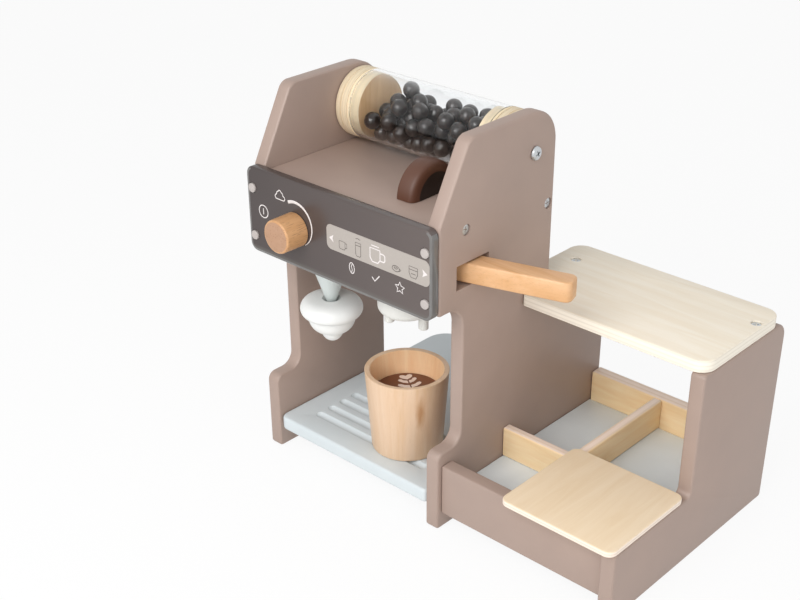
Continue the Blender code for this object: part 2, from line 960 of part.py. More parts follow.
def build_frame_screws(left_panel, right_panel, top, rear, base):
    profile = sunk_profile(screw_radius, screw_head_radius, screw_head, screw_length)
    number = 0
    for sign, panel, facing in ((-1, left_panel, SIDE_LEFT), (1, right_panel, SIDE)):
        for wood, y, z in (
            (top, screw_length + screw_head, top_board_height - board / 2),
            (rear, machine_depth - board / 2 - fit_gap, (rear_rail_low + top_board_height) / 2),
        ):
            number += 1
            at = (sign * (outer_x - fit_gap), y, z)
            fastener(f"frame_screw_{number}", profile, at, facing, (panel, wood), through)
    for number, y in ((1, machine_depth / 5), (2, machine_depth * 4 / 5)):
        at = (-outer_x + fit_gap, y, base_top - board / 2)
        fastener(f"base_screw_{number}", profile, at, SIDE_LEFT, (left_panel, base), through)


def build_station(right_panel, base):
    start = station_start
    end = end_inner_x - fit_gap
    wall = station_wall_top
    rail_back = rail_setback + board
    back_inner = toy_depth - board
    floor = box(
        "station_floor",
        (start, rail_back + fit_gap, base_low),
        (end, back_inner - fit_gap, base_top),
        grey_paint,
        natural_edge,
    )
    box("front_rail", (start, rail_setback, rail_low), (end, rail_back, wall), painted, rail_edge)
    box("back_rail", (start, back_inner, base_low), (end, toy_depth, wall), birch, rail_edge)
    divider_back = cross_divider_y + thin_board
    box(
        "cross_divider",
        (start, cross_divider_y, base_top + fit_gap),
        (end, divider_back, wall),
        birch,
        divider_edge,
    )
    box(
        "long_divider",
        (long_divider_x, divider_back + fit_gap, base_top + fit_gap),
        (long_divider_x + thin_board, back_inner - fit_gap, wall),
        birch,
        divider_edge,
    )
    profile = [
        (0, 0, sole_corner),
        (0, wall, sole_corner),
        (shelf_front, wall, end_step_fillet),
        (shelf_front, shelf_underside - fit_gap, sole_corner),
        (toy_depth, shelf_underside - fit_gap, extension_corner),
        (toy_depth, 0, sole_corner),
    ]
    end_panel = flat_board(
        "end_panel",
        [rounded(profile)],
        board,
        painted,
        (end_inner_x + board / 2, 0, 0),
        SIDE,
        panel_edge,
    )
    dowel_low = outer_x - board - dowel_bite
    dowel_high = station_start + dowel_bite
    for number, y in ((1, machine_depth / 5), (2, shelf_screw_y)):
        at = (0, y, base_top - board / 2)
        peg = [(0, dowel_high), (dowel_radius, dowel_high), (dowel_radius, dowel_low), (0, dowel_low)]
        turned(f"base_dowel_{number}", peg, birch, at, SIDE, count=small_steps)
        round_hole(
            (right_panel, base, floor),
            f"dowel_bore_{number}",
            dowel_radius + fit_gap,
            dowel_low - fit_gap,
            dowel_high + fit_gap,
            at,
            SIDE,
        )
    return end_panel


def build_lid():
    outline = [
        (lid_left, lid_front, lid_corner),
        (end_outer_x, lid_front, lid_corner),
        (end_outer_x, lid_back, lid_corner),
        (lid_left, lid_back, lid_corner),
    ]
    axis = axis_empty("lid_axis", (0, 0, station_wall_top + fit_gap + lid_thickness / 2))
    flat_board(
        "station_lid", [rounded(outline)], lid_thickness, birch, (0, 0, 0), FLAT, lid_edge, axis
    )


def build_shelf(right_panel, end_panel):
    notch_y = machine_depth + extension_fillet + fit_gap
    left = inner_x - shelf_overhang
    outline = [
        (station_start, shelf_front, sole_corner),
        (end_outer_x, shelf_front, shelf_corner),
        (end_outer_x, shelf_back, shelf_corner),
        (left, shelf_back, shelf_corner),
        (left, notch_y, 0),
        (station_start, notch_y, 0),
    ]
    middle = shelf_underside + shelf_thickness / 2
    shelf = flat_board(
        "shelf", [rounded(outline)], shelf_thickness, birch, (0, 0, middle), FLAT, shelf_edge
    )
    profile = sunk_profile(screw_radius, screw_head_radius, screw_head, screw_length)
    top = shelf_underside + shelf_thickness - fit_gap
    for name, x, panel in (
        ("left", inner_x + board / 2, right_panel),
        ("right", end_inner_x + board / 2, end_panel),
    ):
        at = (x, shelf_screw_y, top)
        fastener("shelf_screw_" + name, profile, at, FLAT, (shelf, panel), through)


clear_scene()
parts = new_collection("toy_coffee_maker")
cutters = new_collection("toy_coffee_maker_cutters")

painted = finish("taupe_paint", "#A08C80", 0.45)
grey_paint = finish("blue_grey_paint", "#BCC3C6", 0.45)
white_paint = finish("white_paint", "#F2F2F0", 0.4)
pale_grey = finish("pale_grey_paint", "#D9DFDD", 0.4)
coffee_paint = finish("coffee_paint", "#6B3E26", 0.4)
chocolate = finish("chocolate_paint", "#6F4B38", 0.4)
bead_paint = finish("bead_paint", "#4A4644", 0.3)
beech = finish("beech", "#DDAA74", 0.5)
light_beech = finish("light_beech", "#E6C7A2", 0.5)
birch = finish("birch", "#E6D3B0", 0.55)
acrylic = finish("smoked_acrylic", "#6B625F", 0.12)
clear = finish("clear_tube", "#F4F7F8", 0.05, alpha=0.25)
steel = finish("zinc_steel", "#C9CDD0", 0.3, metallic=1.0)

bench = bpy.data.objects.new("bench_frame", None)
parts.objects.link(bench)
bench.location = (-origin_x, -origin_y, 0)

left_side, right_side = build_panels()
top_plank, rear_plank, base_plank = build_boards()
face_plate = build_control_plate(left_side, right_side)
build_dial(face_plate)
build_half_disc(top_plank)
build_drum(left_side, right_side)
build_brew_head(top_plank)
build_portafilter()
build_nozzle()
build_foam()
build_cup()
build_frame_screws(left_side, right_side, top_plank, rear_plank, base_plank)
end_side = build_station(right_side, base_plank)
build_lid()
build_shelf(right_side, end_side)
bpy.context.view_layer.update()
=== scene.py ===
"""Looks of the toy coffee maker, piece by piece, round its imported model.

Sizes are in millimetres on the bench: X to the right from the middle of the machine, Y to the back from
the front of its feet and Z up from the table. spot() turns such a point into the model's own metres.
"""

import math
import random

import bmesh
import bpy
from mathutils import Euler, Matrix, Vector


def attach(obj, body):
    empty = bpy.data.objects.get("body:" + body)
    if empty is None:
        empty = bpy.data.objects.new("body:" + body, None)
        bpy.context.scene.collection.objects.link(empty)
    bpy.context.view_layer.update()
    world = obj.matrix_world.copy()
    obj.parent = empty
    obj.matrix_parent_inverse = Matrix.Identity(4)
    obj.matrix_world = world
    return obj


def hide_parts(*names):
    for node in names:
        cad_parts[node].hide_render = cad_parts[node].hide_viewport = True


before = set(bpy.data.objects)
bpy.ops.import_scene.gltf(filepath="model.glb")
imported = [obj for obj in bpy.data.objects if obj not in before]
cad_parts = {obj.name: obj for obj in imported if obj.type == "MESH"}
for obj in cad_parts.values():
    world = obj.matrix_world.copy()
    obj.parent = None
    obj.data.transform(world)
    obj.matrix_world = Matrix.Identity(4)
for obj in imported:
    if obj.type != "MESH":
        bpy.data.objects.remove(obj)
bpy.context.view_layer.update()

# Side boards
# Two 12 mm birch ply boards carry everything. They are sawn to a profile with a narrow neck, rounded over
# all round with a 2 mm cutter, sprayed with satin taupe paint and sanded between coats.

BENCH = Vector((78.65, 90.1, 0))


def spot(x, y, z):
    """A bench point in the model's metres. A coordinate that is None stays None."""
    return tuple(None if v is None else (v - o) / 1000 for v, o in zip((x, y, z), BENCH))


def linear(code, share=1):
    """Linear colour of an sRGB hex code, made darker or lighter by a share."""
    parts = [int(code[i : i + 2], 16) / 255 for i in (1, 3, 5)]
    parts = [v / 12.92 if v <= 0.04045 else ((v + 0.055) / 1.055) ** 2.4 for v in parts]
    return (*[min(1, v * share) for v in parts], 1)


def add(tree, kind, settings, links=None, out=0):
    """Adds a shader node with its settings and what feeds it, and gives the output that is wanted."""
    made = tree.nodes.new("ShaderNode" + kind)
    if kind == "Mix":
        made.data_type, out = "RGBA", 2
    for name, value in settings.items():
        if isinstance(name, int) or name in made.inputs:
            made.inputs[name].default_value = value
        else:
            setattr(made, name, value)
    for name, source in (links or {}).items():
        tree.links.new(source, made.inputs[name])
    return made.outputs[out]


def feed(shader, socket, source):
    """Lets a socket of a shader follow a node's output."""
    shader.id_data.links.new(source, shader.inputs[socket])


def new_finish(name, roughness, **sockets):
    """A material with its tree, its shader and its object coordinates."""
    material = bpy.data.materials.new(name)
    material.use_nodes = True
    tree = material.node_tree
    shader = tree.nodes["Principled BSDF"]
    shader.inputs["Roughness"].default_value = roughness
    for socket, value in sockets.items():
        shader.inputs[socket.replace("_", " ")].default_value = value
    return material, tree, shader, add(tree, "TexCoord", {}, out="Object")


def two_tone(name, roughness, noise, low, high, shares=(1, 1), grain=None, **sockets):
    """A finish whose colour wanders between two tones. noise is its scale per metre and its detail."""
    material, tree, shader, place = new_finish(name, roughness, **sockets)
    spread = add(tree, "Mapping", {"Scale": grain}, {"Vector": place}) if grain else place
    wander = add(tree, "TexNoise", {"Scale": noise[0], "Detail": noise[1]}, {"Vector": spread})
    tones = {6: linear(low, shares[0]), 7: linear(high, shares[1])}
    feed(shader, "Base Color", add(tree, "Mix", tones, {0: wander}))
    return material, tree, shader, place, wander


def satin_paint(name, code, grain=(1, 1, 0.06), depth=1.0):
    """Sprayed water-based paint on wood. It reads as one soft colour with clouds some 36 mm wide. The
    grain telegraphs through as lines 0.8 mm apart. The sprayed skin is really about 0.3 mm fine and is
    drawn twice as coarse, because it wouldn't show."""
    finish = two_tone(name, 0.46, (28, 4), code, code, (0.92, 1.09))
    material, tree, shader, place, cloud = finish
    gloss = add(tree, "MapRange", {"To Min": 0.4, "To Max": 0.55}, {"Value": cloud})
    feed(shader, "Roughness", gloss)
    along = add(tree, "Mapping", {"Scale": grain}, {"Vector": place})
    lines = add(tree, "TexNoise", {"Scale": 1200, "Detail": 3}, {"Vector": along})
    skin = add(tree, "TexNoise", {"Scale": 1700, "Detail": 2}, {"Vector": place})
    relief = {"Strength": 0.1 * depth, "Distance": 0.0002}
    first = add(tree, "Bump", relief, {"Height": lines})
    relief = {"Strength": 0.1 * depth, "Distance": 0.0001}
    second = add(tree, "Bump", relief, {"Height": skin, "Normal": first})
    feed(shader, "Normal", second)
    return material


def alone(piece):
    """Only this piece selected, for operators that act on all that is."""
    bpy.ops.object.select_all(action="DESELECT")
    piece.select_set(True)
    bpy.context.view_layer.objects.active = piece


def edit_all():
    """Edit mode with all of the active piece selected."""
    bpy.ops.object.mode_set(mode="EDIT")
    bpy.ops.mesh.select_all(action="SELECT")


def leave_edit():
    """Back to object mode."""
    bpy.ops.object.mode_set(mode="OBJECT")


def settle(piece):
    """Moves a piece's place, turn and size into its mesh."""
    alone(piece)
    bpy.ops.object.transform_apply(location=True, rotation=True, scale=True)


def board(name, low, high):
    """A sawn board between two bench corners."""
    low, high = Vector(spot(*low)), Vector(spot(*high))
    bpy.ops.mesh.primitive_cube_add(size=1, location=(low + high) / 2, scale=high - low)
    piece = bpy.context.object
    piece.name = name
    settle(piece)
    return piece


def pick_edges(piece, wanted):
    """Edit mode with those edges selected whose two ends the test accepts."""
    alone(piece)
    bpy.ops.object.mode_set(mode="EDIT")
    bpy.ops.mesh.select_mode(type="EDGE")
    bpy.ops.mesh.select_all(action="DESELECT")
    shell = bmesh.from_edit_mesh(piece.data)
    for edge in shell.edges:
        edge.select_set(wanted(edge.verts[0].co, edge.verts[1].co))
    bmesh.update_edit_mesh(piece.data)


def round_corner(piece, x, y, z, reach, segments=8):
    """Rounds the edge that runs through a bench point along the axis left as None."""
    target = spot(x, y, z)

    def on_edge(a, b):
        return all(
            t is None or (abs(a[i] - t) < 3e-5 and abs(b[i] - t) < 3e-5) for i, t in enumerate(target)
        )

    pick_edges(piece, on_edge)
    bpy.ops.mesh.bevel(offset=reach / 1000, segments=segments, affect="EDGES", clamp_overlap=False)
    leave_edit()


def cut_away(piece, cutter):
    """Saws or drills away what the cutter fills, and puts the cutter out of the scene."""
    alone(piece)
    saw = piece.modifiers.new("saw", "BOOLEAN")
    saw.operation = "DIFFERENCE"
    saw.solver = "EXACT"
    saw.object = cutter
    bpy.ops.object.modifier_apply(modifier="saw")
    bpy.data.objects.remove(cutter)


def shade(piece, angle=30):
    """Smooth shading with a crease wherever faces meet at more than the angle."""
    alone(piece)
    bpy.ops.object.shade_smooth_by_angle(angle=math.radians(angle))


def ease_edges(piece, width, segments=3, limit=40):
    """Rounds every edge over that is sharper than the limit and shades the rest smooth."""
    alone(piece)
    router = piece.modifiers.new("router", "BEVEL")
    router.width = width / 1000
    router.segments = segments
    router.limit_method = "ANGLE"
    router.angle_limit = math.radians(limit)
    bpy.ops.object.modifier_apply(modifier="router")
    shade(piece)


def slice_off(piece, point, normal):
    """Cuts off what lies past a plane and closes the cut. The point is in metres."""
    alone(piece)
    edit_all()
    bpy.ops.mesh.bisect(plane_co=point, plane_no=normal, use_fill=True, clear_outer=True)
    leave_edit()


def fit(piece, body, material, slot, *nodes):
    """Puts a finished piece on its body in place of its plain solids."""
    settle(piece)
    piece.data.materials.clear()
    piece.data.materials.append(material)
    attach(piece, body)
    if nodes:
        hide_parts(*nodes)


def refinish(piece, material, wanted):
    """Gives those faces of a fitted piece that the test accepts a finish of their own."""
    piece.data.materials.append(material)
    for face in piece.data.polygons:
        if wanted(face):
            face.material_index = 1


def set_down(piece, at, facing, crease):
    """Puts a piece that was made upright at the origin at a bench point, with its top facing one way."""
    across, over = {"up": (0, 0), "front": (90, 0), "right": (0, 90), "left": (0, -90)}[facing]
    piece.location = spot(*at)
    piece.rotation_euler = (math.radians(across), math.radians(over), 0)
    settle(piece)
    shade(piece, crease)
    return piece


def turn(name, rings, at=(0, 0, 0), facing="up", sides=96):
    """A lathe piece. Its rings (radius, height, rounding) run from the back of the axis to the front."""
    radius, height = rings[0][:2]
    bpy.ops.mesh.primitive_circle_add(
        vertices=sides, radius=radius / 1000, fill_type="NGON", location=(0, 0, height / 1000)
    )
    piece = bpy.context.object
    piece.name = name
    settle(piece)
    edit_all()
    for ring in rings[1:]:
        step = (ring[1] - height) / 1000
        bpy.ops.mesh.extrude_region_move(TRANSFORM_OT_translate={"value": (0, 0, step)})
        share = ring[0] / radius
        bpy.ops.transform.resize(value=(share, share, 1), center_override=(0, 0, ring[1] / 1000))
        radius, height = ring[:2]
    bpy.ops.mesh.select_all(action="SELECT")
    bpy.ops.mesh.normals_make_consistent(inside=False)
    leave_edit()
    for ring in rings:
        if len(ring) > 2:
            r, h = ring[0] / 1000, ring[1] / 1000

            def on_ring(a, b, r=r, h=h):
                return all(abs(math.hypot(p.x, p.y) - r) < 1e-5 and abs(p.z - h) < 1e-5 for p in (a, b))

            pick_edges(piece, on_ring)
            bpy.ops.mesh.bevel(offset=ring[2] / 1000, segments=5, affect="EDGES")
            leave_edit()
    return set_down(piece, at, facing, 32)


def countersink(panel, at, facing, depth=1.6):
    """Sinks a round seat for a screw head into a panel."""
    cut_away(panel, turn("seat_cutter", [(4.3, -depth), (4.3, 4)], at, facing, 40))


taupe = satin_paint("taupe_satin_paint_on_ply", "#A79287")
inner, outer = 82, 94
machine_back, toy_back = 128.4, 208.5
foot_top, neck_back, nose_low = 68, 26.5, 183.8
brow_top, crown_front, toy_top = 251, 31, 308.8
shelf_under = 158.2


def side_board(name, low_x, high_x, back):
    """A side sawn from one board: the notch under the plate, the sloped brow and the round corners."""
    piece = board(name, (low_x, 0, 0), (high_x, back, toy_top))
    notch = board("neck_saw", (low_x - 5, -20, foot_top), (high_x + 5, neck_back, nose_low))
    round_corner(notch, None, neck_back, foot_top, 11)
    round_corner(notch, None, neck_back, nose_low, 16, 12)
    cut_away(piece, notch)
    slope = Vector((0, brow_top - toy_top, crown_front)).normalized()
    slice_off(piece, spot(low_x, 0, brow_top), slope)
    if back > machine_back:
        low, high = (low_x - 5, machine_back, shelf_under), (high_x + 5, back + 5, toy_top + 10)
        cut_away(piece, board("shelf_step", low, high))
        round_corner(piece, None, back, shelf_under, 12)
    round_corner(piece, None, machine_back, toy_top, 27, 14)
    round_corner(piece, None, crown_front, toy_top, 5.6)
    round_corner(piece, None, 0, brow_top, 1.6, 5)
    round_corner(piece, None, 0, nose_low, 3)
    round_corner(piece, None, 0, foot_top, 7)
    round_corner(piece, None, 0, 0, 3)
    round_corner(piece, None, back, 0, 3)
    ease_edges(piece, 1.9)
    return piece


left_board = side_board("left_side", -outer, -inner, machine_back)
right_board = side_board("right_side", inner, outer, toy_back)
cut_away(right_board, board("handle_window", (70, 18.5, 198.5), (100, 54, 217.5)))
side_screws = [(28.4, 242.6), (122.1, 233.4)]
tray_screws = [(25.7, 25), (102.7, 25)]
for y, z in side_screws:
    countersink(left_board, (-outer, y, z), "left")
    countersink(right_board, (outer, y, z), "right")
for y, z in tray_screws:
    countersink(left_board, (-outer, y, z), "left")
for panel in (left_board, right_board):
    shade(panel)
fit(left_board, "frame", taupe, "taupe_paint", "left_side_panel")
fit(right_board, "frame", taupe, "taupe_paint", "right_side_panel")

# Top board and rear rail
# Two more boards of the same ply and taupe paint join the sides, glued and screwed through them. Their
# grain runs across the machine, so the fine lines in the paint do too.

taupe_across = satin_paint("taupe_satin_paint_across", "#A79287", grain=(0.06, 1, 1))
bay = inner - 0.3
top_face = 248.6
top = board("top_plank", (-bay, 0.3, 236.6), (bay, 116.1, top_face))
ease_edges(top, 1.0)
fit(top, "frame", taupe_across, "taupe_paint", "top_board")
rail = board("rail_under_drum", (-bay, 116.4, 218.2), (bay, machine_back, top_face))
ease_edges(rail, 1.2)
fit(rail, "frame", taupe_across, "taupe_paint", "rear_rail")

# Drip tray
# The machine's floor is a ply board sprayed pale blue-grey. Its grooves are milled with a round-nosed
# cutter, so they have round ends and soft lips, and its edge is rounded over with a 2 mm cutter.

tray_paint = satin_paint("blue_grey_satin_paint", "#D3DBDE", grain=(0.06, 1, 1))
floor_under, floor_face = 19, 31
tray = board("drip_tray", (-bay, 0, floor_under), (bay, toy_back, floor_face))
round_corner(tray, -bay, 0, None, 7)
round_corner(tray, bay, 0, None, 4)
round_corner(tray, bay, toy_back, None, 4.5)
round_corner(tray, -bay, toy_back, None, 22, 14)
ease_edges(tray, 2.2, 4)
nose_radius, half_run = 4.4, 57.1
nose = [math.radians(v) for v in range(6, 91, 12)]
nose = [(nose_radius * math.cos(a), nose_radius * math.sin(a)) for a in nose]
rod = [(r, -half_run - h) for r, h in reversed(nose)] + [(r, half_run + h) for r, h in nose]
for k in range(4):
    cut_away(tray, turn("round_nosed_cutter", rod, (0, 23.7 + 13.9 * k, 33), "right", 40))
ease_edges(tray, 0.9, 3, 45)
shade(tray, 40)
fit(tray, "frame", tray_paint, "grey_paint", "base_board")

# Control plate
# A 7.4 mm sheet of smoked cast acrylic, laser cut, stands off the side boards' front edges. Its face is
# one deep grey gloss with faint scuffs, with a painted reflection that lightens it towards the right end
# and a painted highlight along its lower edge. The flame-polished rim is painted paler, a painted glow
# for light let in through the clear edge, and darkens at the back with a painted shadow of the gap.

smoked, tree, shader, place = new_finish("smoked_cast_acrylic", 0.25, IOR=1.49)
haze = add(tree, "TexNoise", {"Scale": 12, "Detail": 2}, {"Vector": place})
across, upward = (add(tree, "SeparateXYZ", {}, {0: place}, out) for out in (0, 2))
# Painted reflection: the face is darker at the left end and lighter towards the right, with the random haze
# added on.
ends = {"From Min": spot(-outer, 0, 0)[0], "From Max": spot(outer, 0, 0)[0], "To Max": 0.8}
painted_reflection_ramp = add(tree, "MapRange", ends, {"Value": across})
hazed = {0: haze, 2: painted_reflection_ramp}
haze_and_reflection = add(tree, "Math", {"operation": "MULTIPLY_ADD", 1: 0.25}, hazed)
tint_and_reflection = {6: linear("#3B3231"), 7: linear("#5E5451")}
tint_and_reflection = add(tree, "Mix", tint_and_reflection, {0: haze_and_reflection})
# Painted highlight: a paler strip along the face's lower edge.
lower_edge_highlight = {"From Min": spot(0, 0, 186)[2], "From Max": spot(0, 0, 188.5)[2], "To Min": 0.55, "To Max": 0}
lower_edge_highlight = add(tree, "MapRange", lower_edge_highlight, {"Value": upward})
lit = {7: linear("#625F5A")}
lit = add(tree, "Mix", lit, {0: lower_edge_highlight, 6: tint_and_reflection})
feed(shader, "Base Color", lit)
scuffs = add(tree, "TexNoise", {"Scale": 2200, "Detail": 3}, {"Vector": place})
rub = add(tree, "MapRange", {"To Min": 0.2, "To Max": 0.3}, {"Value": scuffs})
feed(shader, "Roughness", rub)

# Painted glow: the rim is coloured a paler grey for light let in through the clear edge.
finish = two_tone("polished_acrylic_rim_painted_glow", 0.12, (60, 2), "#66625F", "#7C7C7B", grain=(1, 14, 1), IOR=1.49)
rim, tree, shader, place, _ = finish
painted_glow = shader.inputs["Base Color"].links[0].from_socket
inward = add(tree, "SeparateXYZ", {}, {0: place}, 1)
# Painted shadow: the rim darkens towards its back, for the gap where the plate stands off the boards.
shadow = {"From Min": spot(0, -2.0, 0)[1], "From Max": spot(0, -1.1, 0)[1], "To Max": 0.9}
shadow = add(tree, "MapRange", shadow, {"Value": inward})
glow_and_gap_shadow = add(tree, "Mix", {7: linear("#3B302B")}, {0: shadow, 6: painted_glow})
feed(shader, "Base Color", glow_and_gap_shadow)

plate_low, plate_high, plate_face = 183, 252.5, -7.7
plate = board("face_plate", (-outer, plate_face, plate_low), (outer, -0.3, plate_high))
for x in (-outer, outer):
    for z in (plate_low, plate_high):
        round_corner(plate, x, None, z, 7)
ease_edges(plate, 0.8)
alone(plate)
bpy.ops.object.mode_set(mode="EDIT")
bpy.ops.mesh.select_mode(type="FACE")
bpy.ops.mesh.select_all(action="DESELECT")
shell = bmesh.from_edit_mesh(plate.data)
for face in shell.faces:
    face.select_set(face.normal.y < -0.99 and face.calc_area() > 1e-3)
bmesh.update_edit_mesh(plate.data)
bpy.ops.mesh.inset(thickness=0.0014, depth=0)
plate.data.materials.append(smoked)
plate.data.materials.append(rim)
shell = bmesh.from_edit_mesh(plate.data)
for face in shell.faces:
    upper = face.normal.z > 0.5 or face.calc_center_median().z > spot(0, 0, plate_high - 2)[2]
    face.material_index = 0 if face.select or upper else 1
bmesh.update_edit_mesh(plate.data)
leave_edit()
cap_places = [(x, z) for z in (235.3, 196.3) for x in (-88, 88)]
for x, z in cap_places:
    cut_away(plate, turn("cap_hole", [(3.95, -3), (3.95, 3)], (x, plate_face, z), "front", 48))
shade(plate)
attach(plate, "frame")
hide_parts("control_plate")

# Plate screws
# Four screws under pale pressed caps hold the plate. The caps are moulded ABS, slightly domed and matt
# from the mould, and sit proud of their holes. The mould's grain, under 0.1 mm, is drawn 0.7 mm wide.

cap_plastic = two_tone("moulded_cap_plastic", 0.38, (1500, 3), "#AEA6A2", "#BDB5B1", IOR=1.46)[0]
cap_rings = [(2, -2.6), (3.65, -2.6), (3.65, 0.6), (3.3, 1.1), (2.1, 1.5), (0.3, 1.6)]
for number, (x, z) in enumerate(cap_places, 1):
    cap = turn(f"plate_cap_{number}", cap_rings, (x, plate_face - 0.3, z), "front", 48)
    fit(cap, "frame", cap_plastic, "zinc_steel", f"plate_screw_{number}")

# Printed marks
# The display field and the marks are screen printed: a pale grey field, white lines and, for the drinks
# that aren't chosen, thin grey lines. The ink is flat and even. The mesh's dots, really 0.1 mm, are drawn
# about 1 mm wide, and the film stands 0.1 mm proud so that it casts its own edge.

field_ink = two_tone("display_field_ink", 0.3, (900, 2), "#A79F98", "#B1A9A2")[0]
field_left, field_right, field_low, field_high = -8.6, 92.1, 210, 229.8
field = board("display_field", (field_left, -7.86, field_low), (field_right, -7.66, field_high))
for x in (field_left, field_right):
    for z in (field_low, field_high):
        round_corner(field, x, None, z, 4.6)
shade(field)
fit(field, "frame", field_ink, "pale_grey_paint")


def line(points, width, closed=False, y=-7.75, widths=None):
    """One printed line through points (x, z) on the plate."""
    curve = bpy.data.curves.new("printed_line", "CURVE")
    curve.dimensions = "3D"
    curve.bevel_depth = width / 2000
    curve.bevel_resolution = 2
    curve.use_fill_caps = True
    spline = curve.splines.new("POLY")
    spline.points.add(len(points) - 1)
    for i, (x, z) in enumerate(points):
        spline.points[i].co = (*spot(x, y, z), 1)
        spline.points[i].radius = widths[i] / width if widths else 1
    spline.use_cyclic_u = closed
    drawn = bpy.data.objects.new("printed_line", curve)
    bpy.context.scene.collection.objects.link(drawn)
    alone(drawn)
    bpy.ops.object.convert(target="MESH")
    level = spot(0, y, 0)[1]
    for vertex in bpy.context.object.data.vertices:
        vertex.co.y = level + (vertex.co.y - level) * 0.2
    return bpy.context.object


def oval(x, z, across, up, first=0, last=360, count=32, lean=0):
    """Points on an oval, or on a part of it in degrees, with the start left out of a full turn."""
    points = []
    whole = abs(last - first) >= 360
    for k in range(count if whole else count + 1):
        a = math.radians(first + (last - first) * k / count)
        u, v = across * math.cos(a), up * math.sin(a)
        s, c = math.sin(math.radians(lean)), math.cos(math.radians(lean))
        points.append((x + u * c - v * s, z + u * s + v * c))
    return points


def join(name, pieces):
    """One piece from many."""
    alone(pieces[0])
    for piece in pieces:
        piece.select_set(True)
    bpy.ops.object.join()
    piece = bpy.context.object
    piece.name = name
    return piece


def printed(name, lines, ink, slot):
    """All the lines of one ink as one piece of the plate."""
    piece = join(name, lines)
    shade(piece, 50)
    fit(piece, "frame", ink, slot)


def printed_shape(corners, thickness):
    """A solid film of ink from flat corners on the bench, as thick as the vector says."""
    bpy.ops.mesh.primitive_circle_add(vertices=len(corners), radius=0.001, fill_type="NGON")
    piece = bpy.context.object
    for vertex, corner in zip(piece.data.vertices, corners):
        vertex.co = spot(*corner)
    edit_all()
    lift = Vector(thickness) / 1000
    bpy.ops.mesh.extrude_region_move(TRANSFORM_OT_translate={"value": lift})
    bpy.ops.mesh.select_all(action="SELECT")
    bpy.ops.mesh.normals_make_consistent(inside=False)
    leave_edit()
    return piece


white_ink = two_tone("white_screen_ink", 0.35, (1800, 2), "#DAD3D1", "#E6E0DE")[0]
grey_ink = two_tone("grey_screen_ink", 0.35, (1800, 2), "#4F4844", "#5A534E")[0]

sweep = 34
arc = oval(-41.5, 218.9, 17.2, 17.2, 115, -57, sweep)
arc_widths = [2.1 * (1 - k / sweep) ** 1.1 + 0.5 for k in range(sweep + 1)]
star = []
for k in range(10):
    reach = 4.7 if k % 2 == 0 else 2.2
    angle = math.radians(90 + 36 * k)
    star.append((64 + reach * math.cos(angle), 201 + reach * math.sin(angle)))
steam = (
    oval(-61.1, 235.6, 1.7, 1.7, 265, 115, 8)
    + oval(-59.4, 238.2, 1.6, 1.7, 190, 120, 5)
    + oval(-57.7, 239.9, 1.4, 1.4, 160, 20, 7)
    + oval(-55.9, 238.0, 1.6, 1.7, 60, -10, 5)
    + oval(-54.1, 235.5, 1.7, 1.7, 65, -85, 8)
)
marks = [
    line(oval(-77.1, 218.8, 4.9, 5.0), 0.85, True),
    line([(-77.1, 216.4), (-77.1, 221.3)], 0.85),
    line(steam, 0.8, True),
    line(arc, 2.0, widths=arc_widths),
    line(oval(16.5, 201.3, 2.5, 4.2, lean=4), 0.7, True),
    line([(16.9, 204.6), (16.0, 202.4), (16.9, 200.2), (16.2, 198.0)], 0.6),
    line([(36.9, 200.9), (39.5, 198.3), (44.2, 203.6)], 0.95),
    line(star, 0.85, True),
]
printed("white_marks_below", marks, white_ink, "white_paint")
mug = [(35.4, 223.8), (35.4, 216.2), (37.6, 213.4), (42.9, 213.4), (45.2, 216.2), (45.2, 223.8)]
handle = [(45.6, 221.7), (48.7, 221.7), (49.9, 220.6), (49.9, 217.0), (48.7, 215.9), (45.6, 215.9)]
chosen = [
    line(mug, 1.05, True, -7.9),
    line([(36.8, 226.0), (44.2, 226.0)], 0.8, False, -7.9),
    line(handle, 1.05, False, -7.9),
]
arrows = [
    [(-5.8, 219.2), (-1.5, 216.3), (-2.4, 219.2), (-1.5, 222.1)],
    [(90.3, 219.6), (85.6, 216.7), (86.5, 219.6), (85.6, 222.5)],
]
chosen += [printed_shape([(x, -7.82, z) for x, z in arrow], (0, -0.2, 0)) for arrow in arrows]
printed("white_marks_in_field", chosen, white_ink, "white_paint")
tumbler = [(20.7, 223.2), (21.0, 213.8), (21.8, 212.6), (25.2, 212.6), (26.0, 213.8), (26.3, 223.2)]
beaker = [(73.0, 221.3), (73.0, 216.2), (74.6, 213.0), (79.4, 213.0), (81.0, 216.2), (81.0, 221.3)]
small_cup = [(4.2, 219.6), (4.2, 214.4), (5.0, 213.4), (9.4, 213.4), (10.2, 214.4), (10.2, 219.6)]
others = [
    (small_cup, 0.55, True),
    ([(10.4, 218.8), (12.0, 218.8), (12.0, 215.2), (10.4, 215.2)], 0.55, False),
    (tumbler, 0.55, True),
    ([(21.2, 226.0), (23.4, 226.6), (25.8, 226.0)], 0.5, False),
    ([(20.9, 221.0), (26.1, 221.0)], 0.5, False),
    (oval(60.4, 215.0, 3.5, 2.2), 0.55, True),
    (oval(60.4, 215.5, 1.6, 0.7), 0.5, True),
    ([(63.9, 215.8), (65.4, 215.0), (63.7, 213.8)], 0.55, False),
    (beaker, 0.55, True),
    ([(73.1, 219.0), (80.9, 219.0)], 0.5, False),
    ([(74.9, 216.0), (79.3, 216.0)], 0.5, False),
]
others = [line(*mark, -7.88) for mark in others]
printed("grey_marks_in_field", others, grey_ink, "smoked_acrylic")

# Dial
# A knob turned from a beech dowel, oiled, with its edge broken. It turns on a bolt through the plate. Oil
# leaves beech warm and satin. Its rays are dark dashes along the side and open pores on the end.


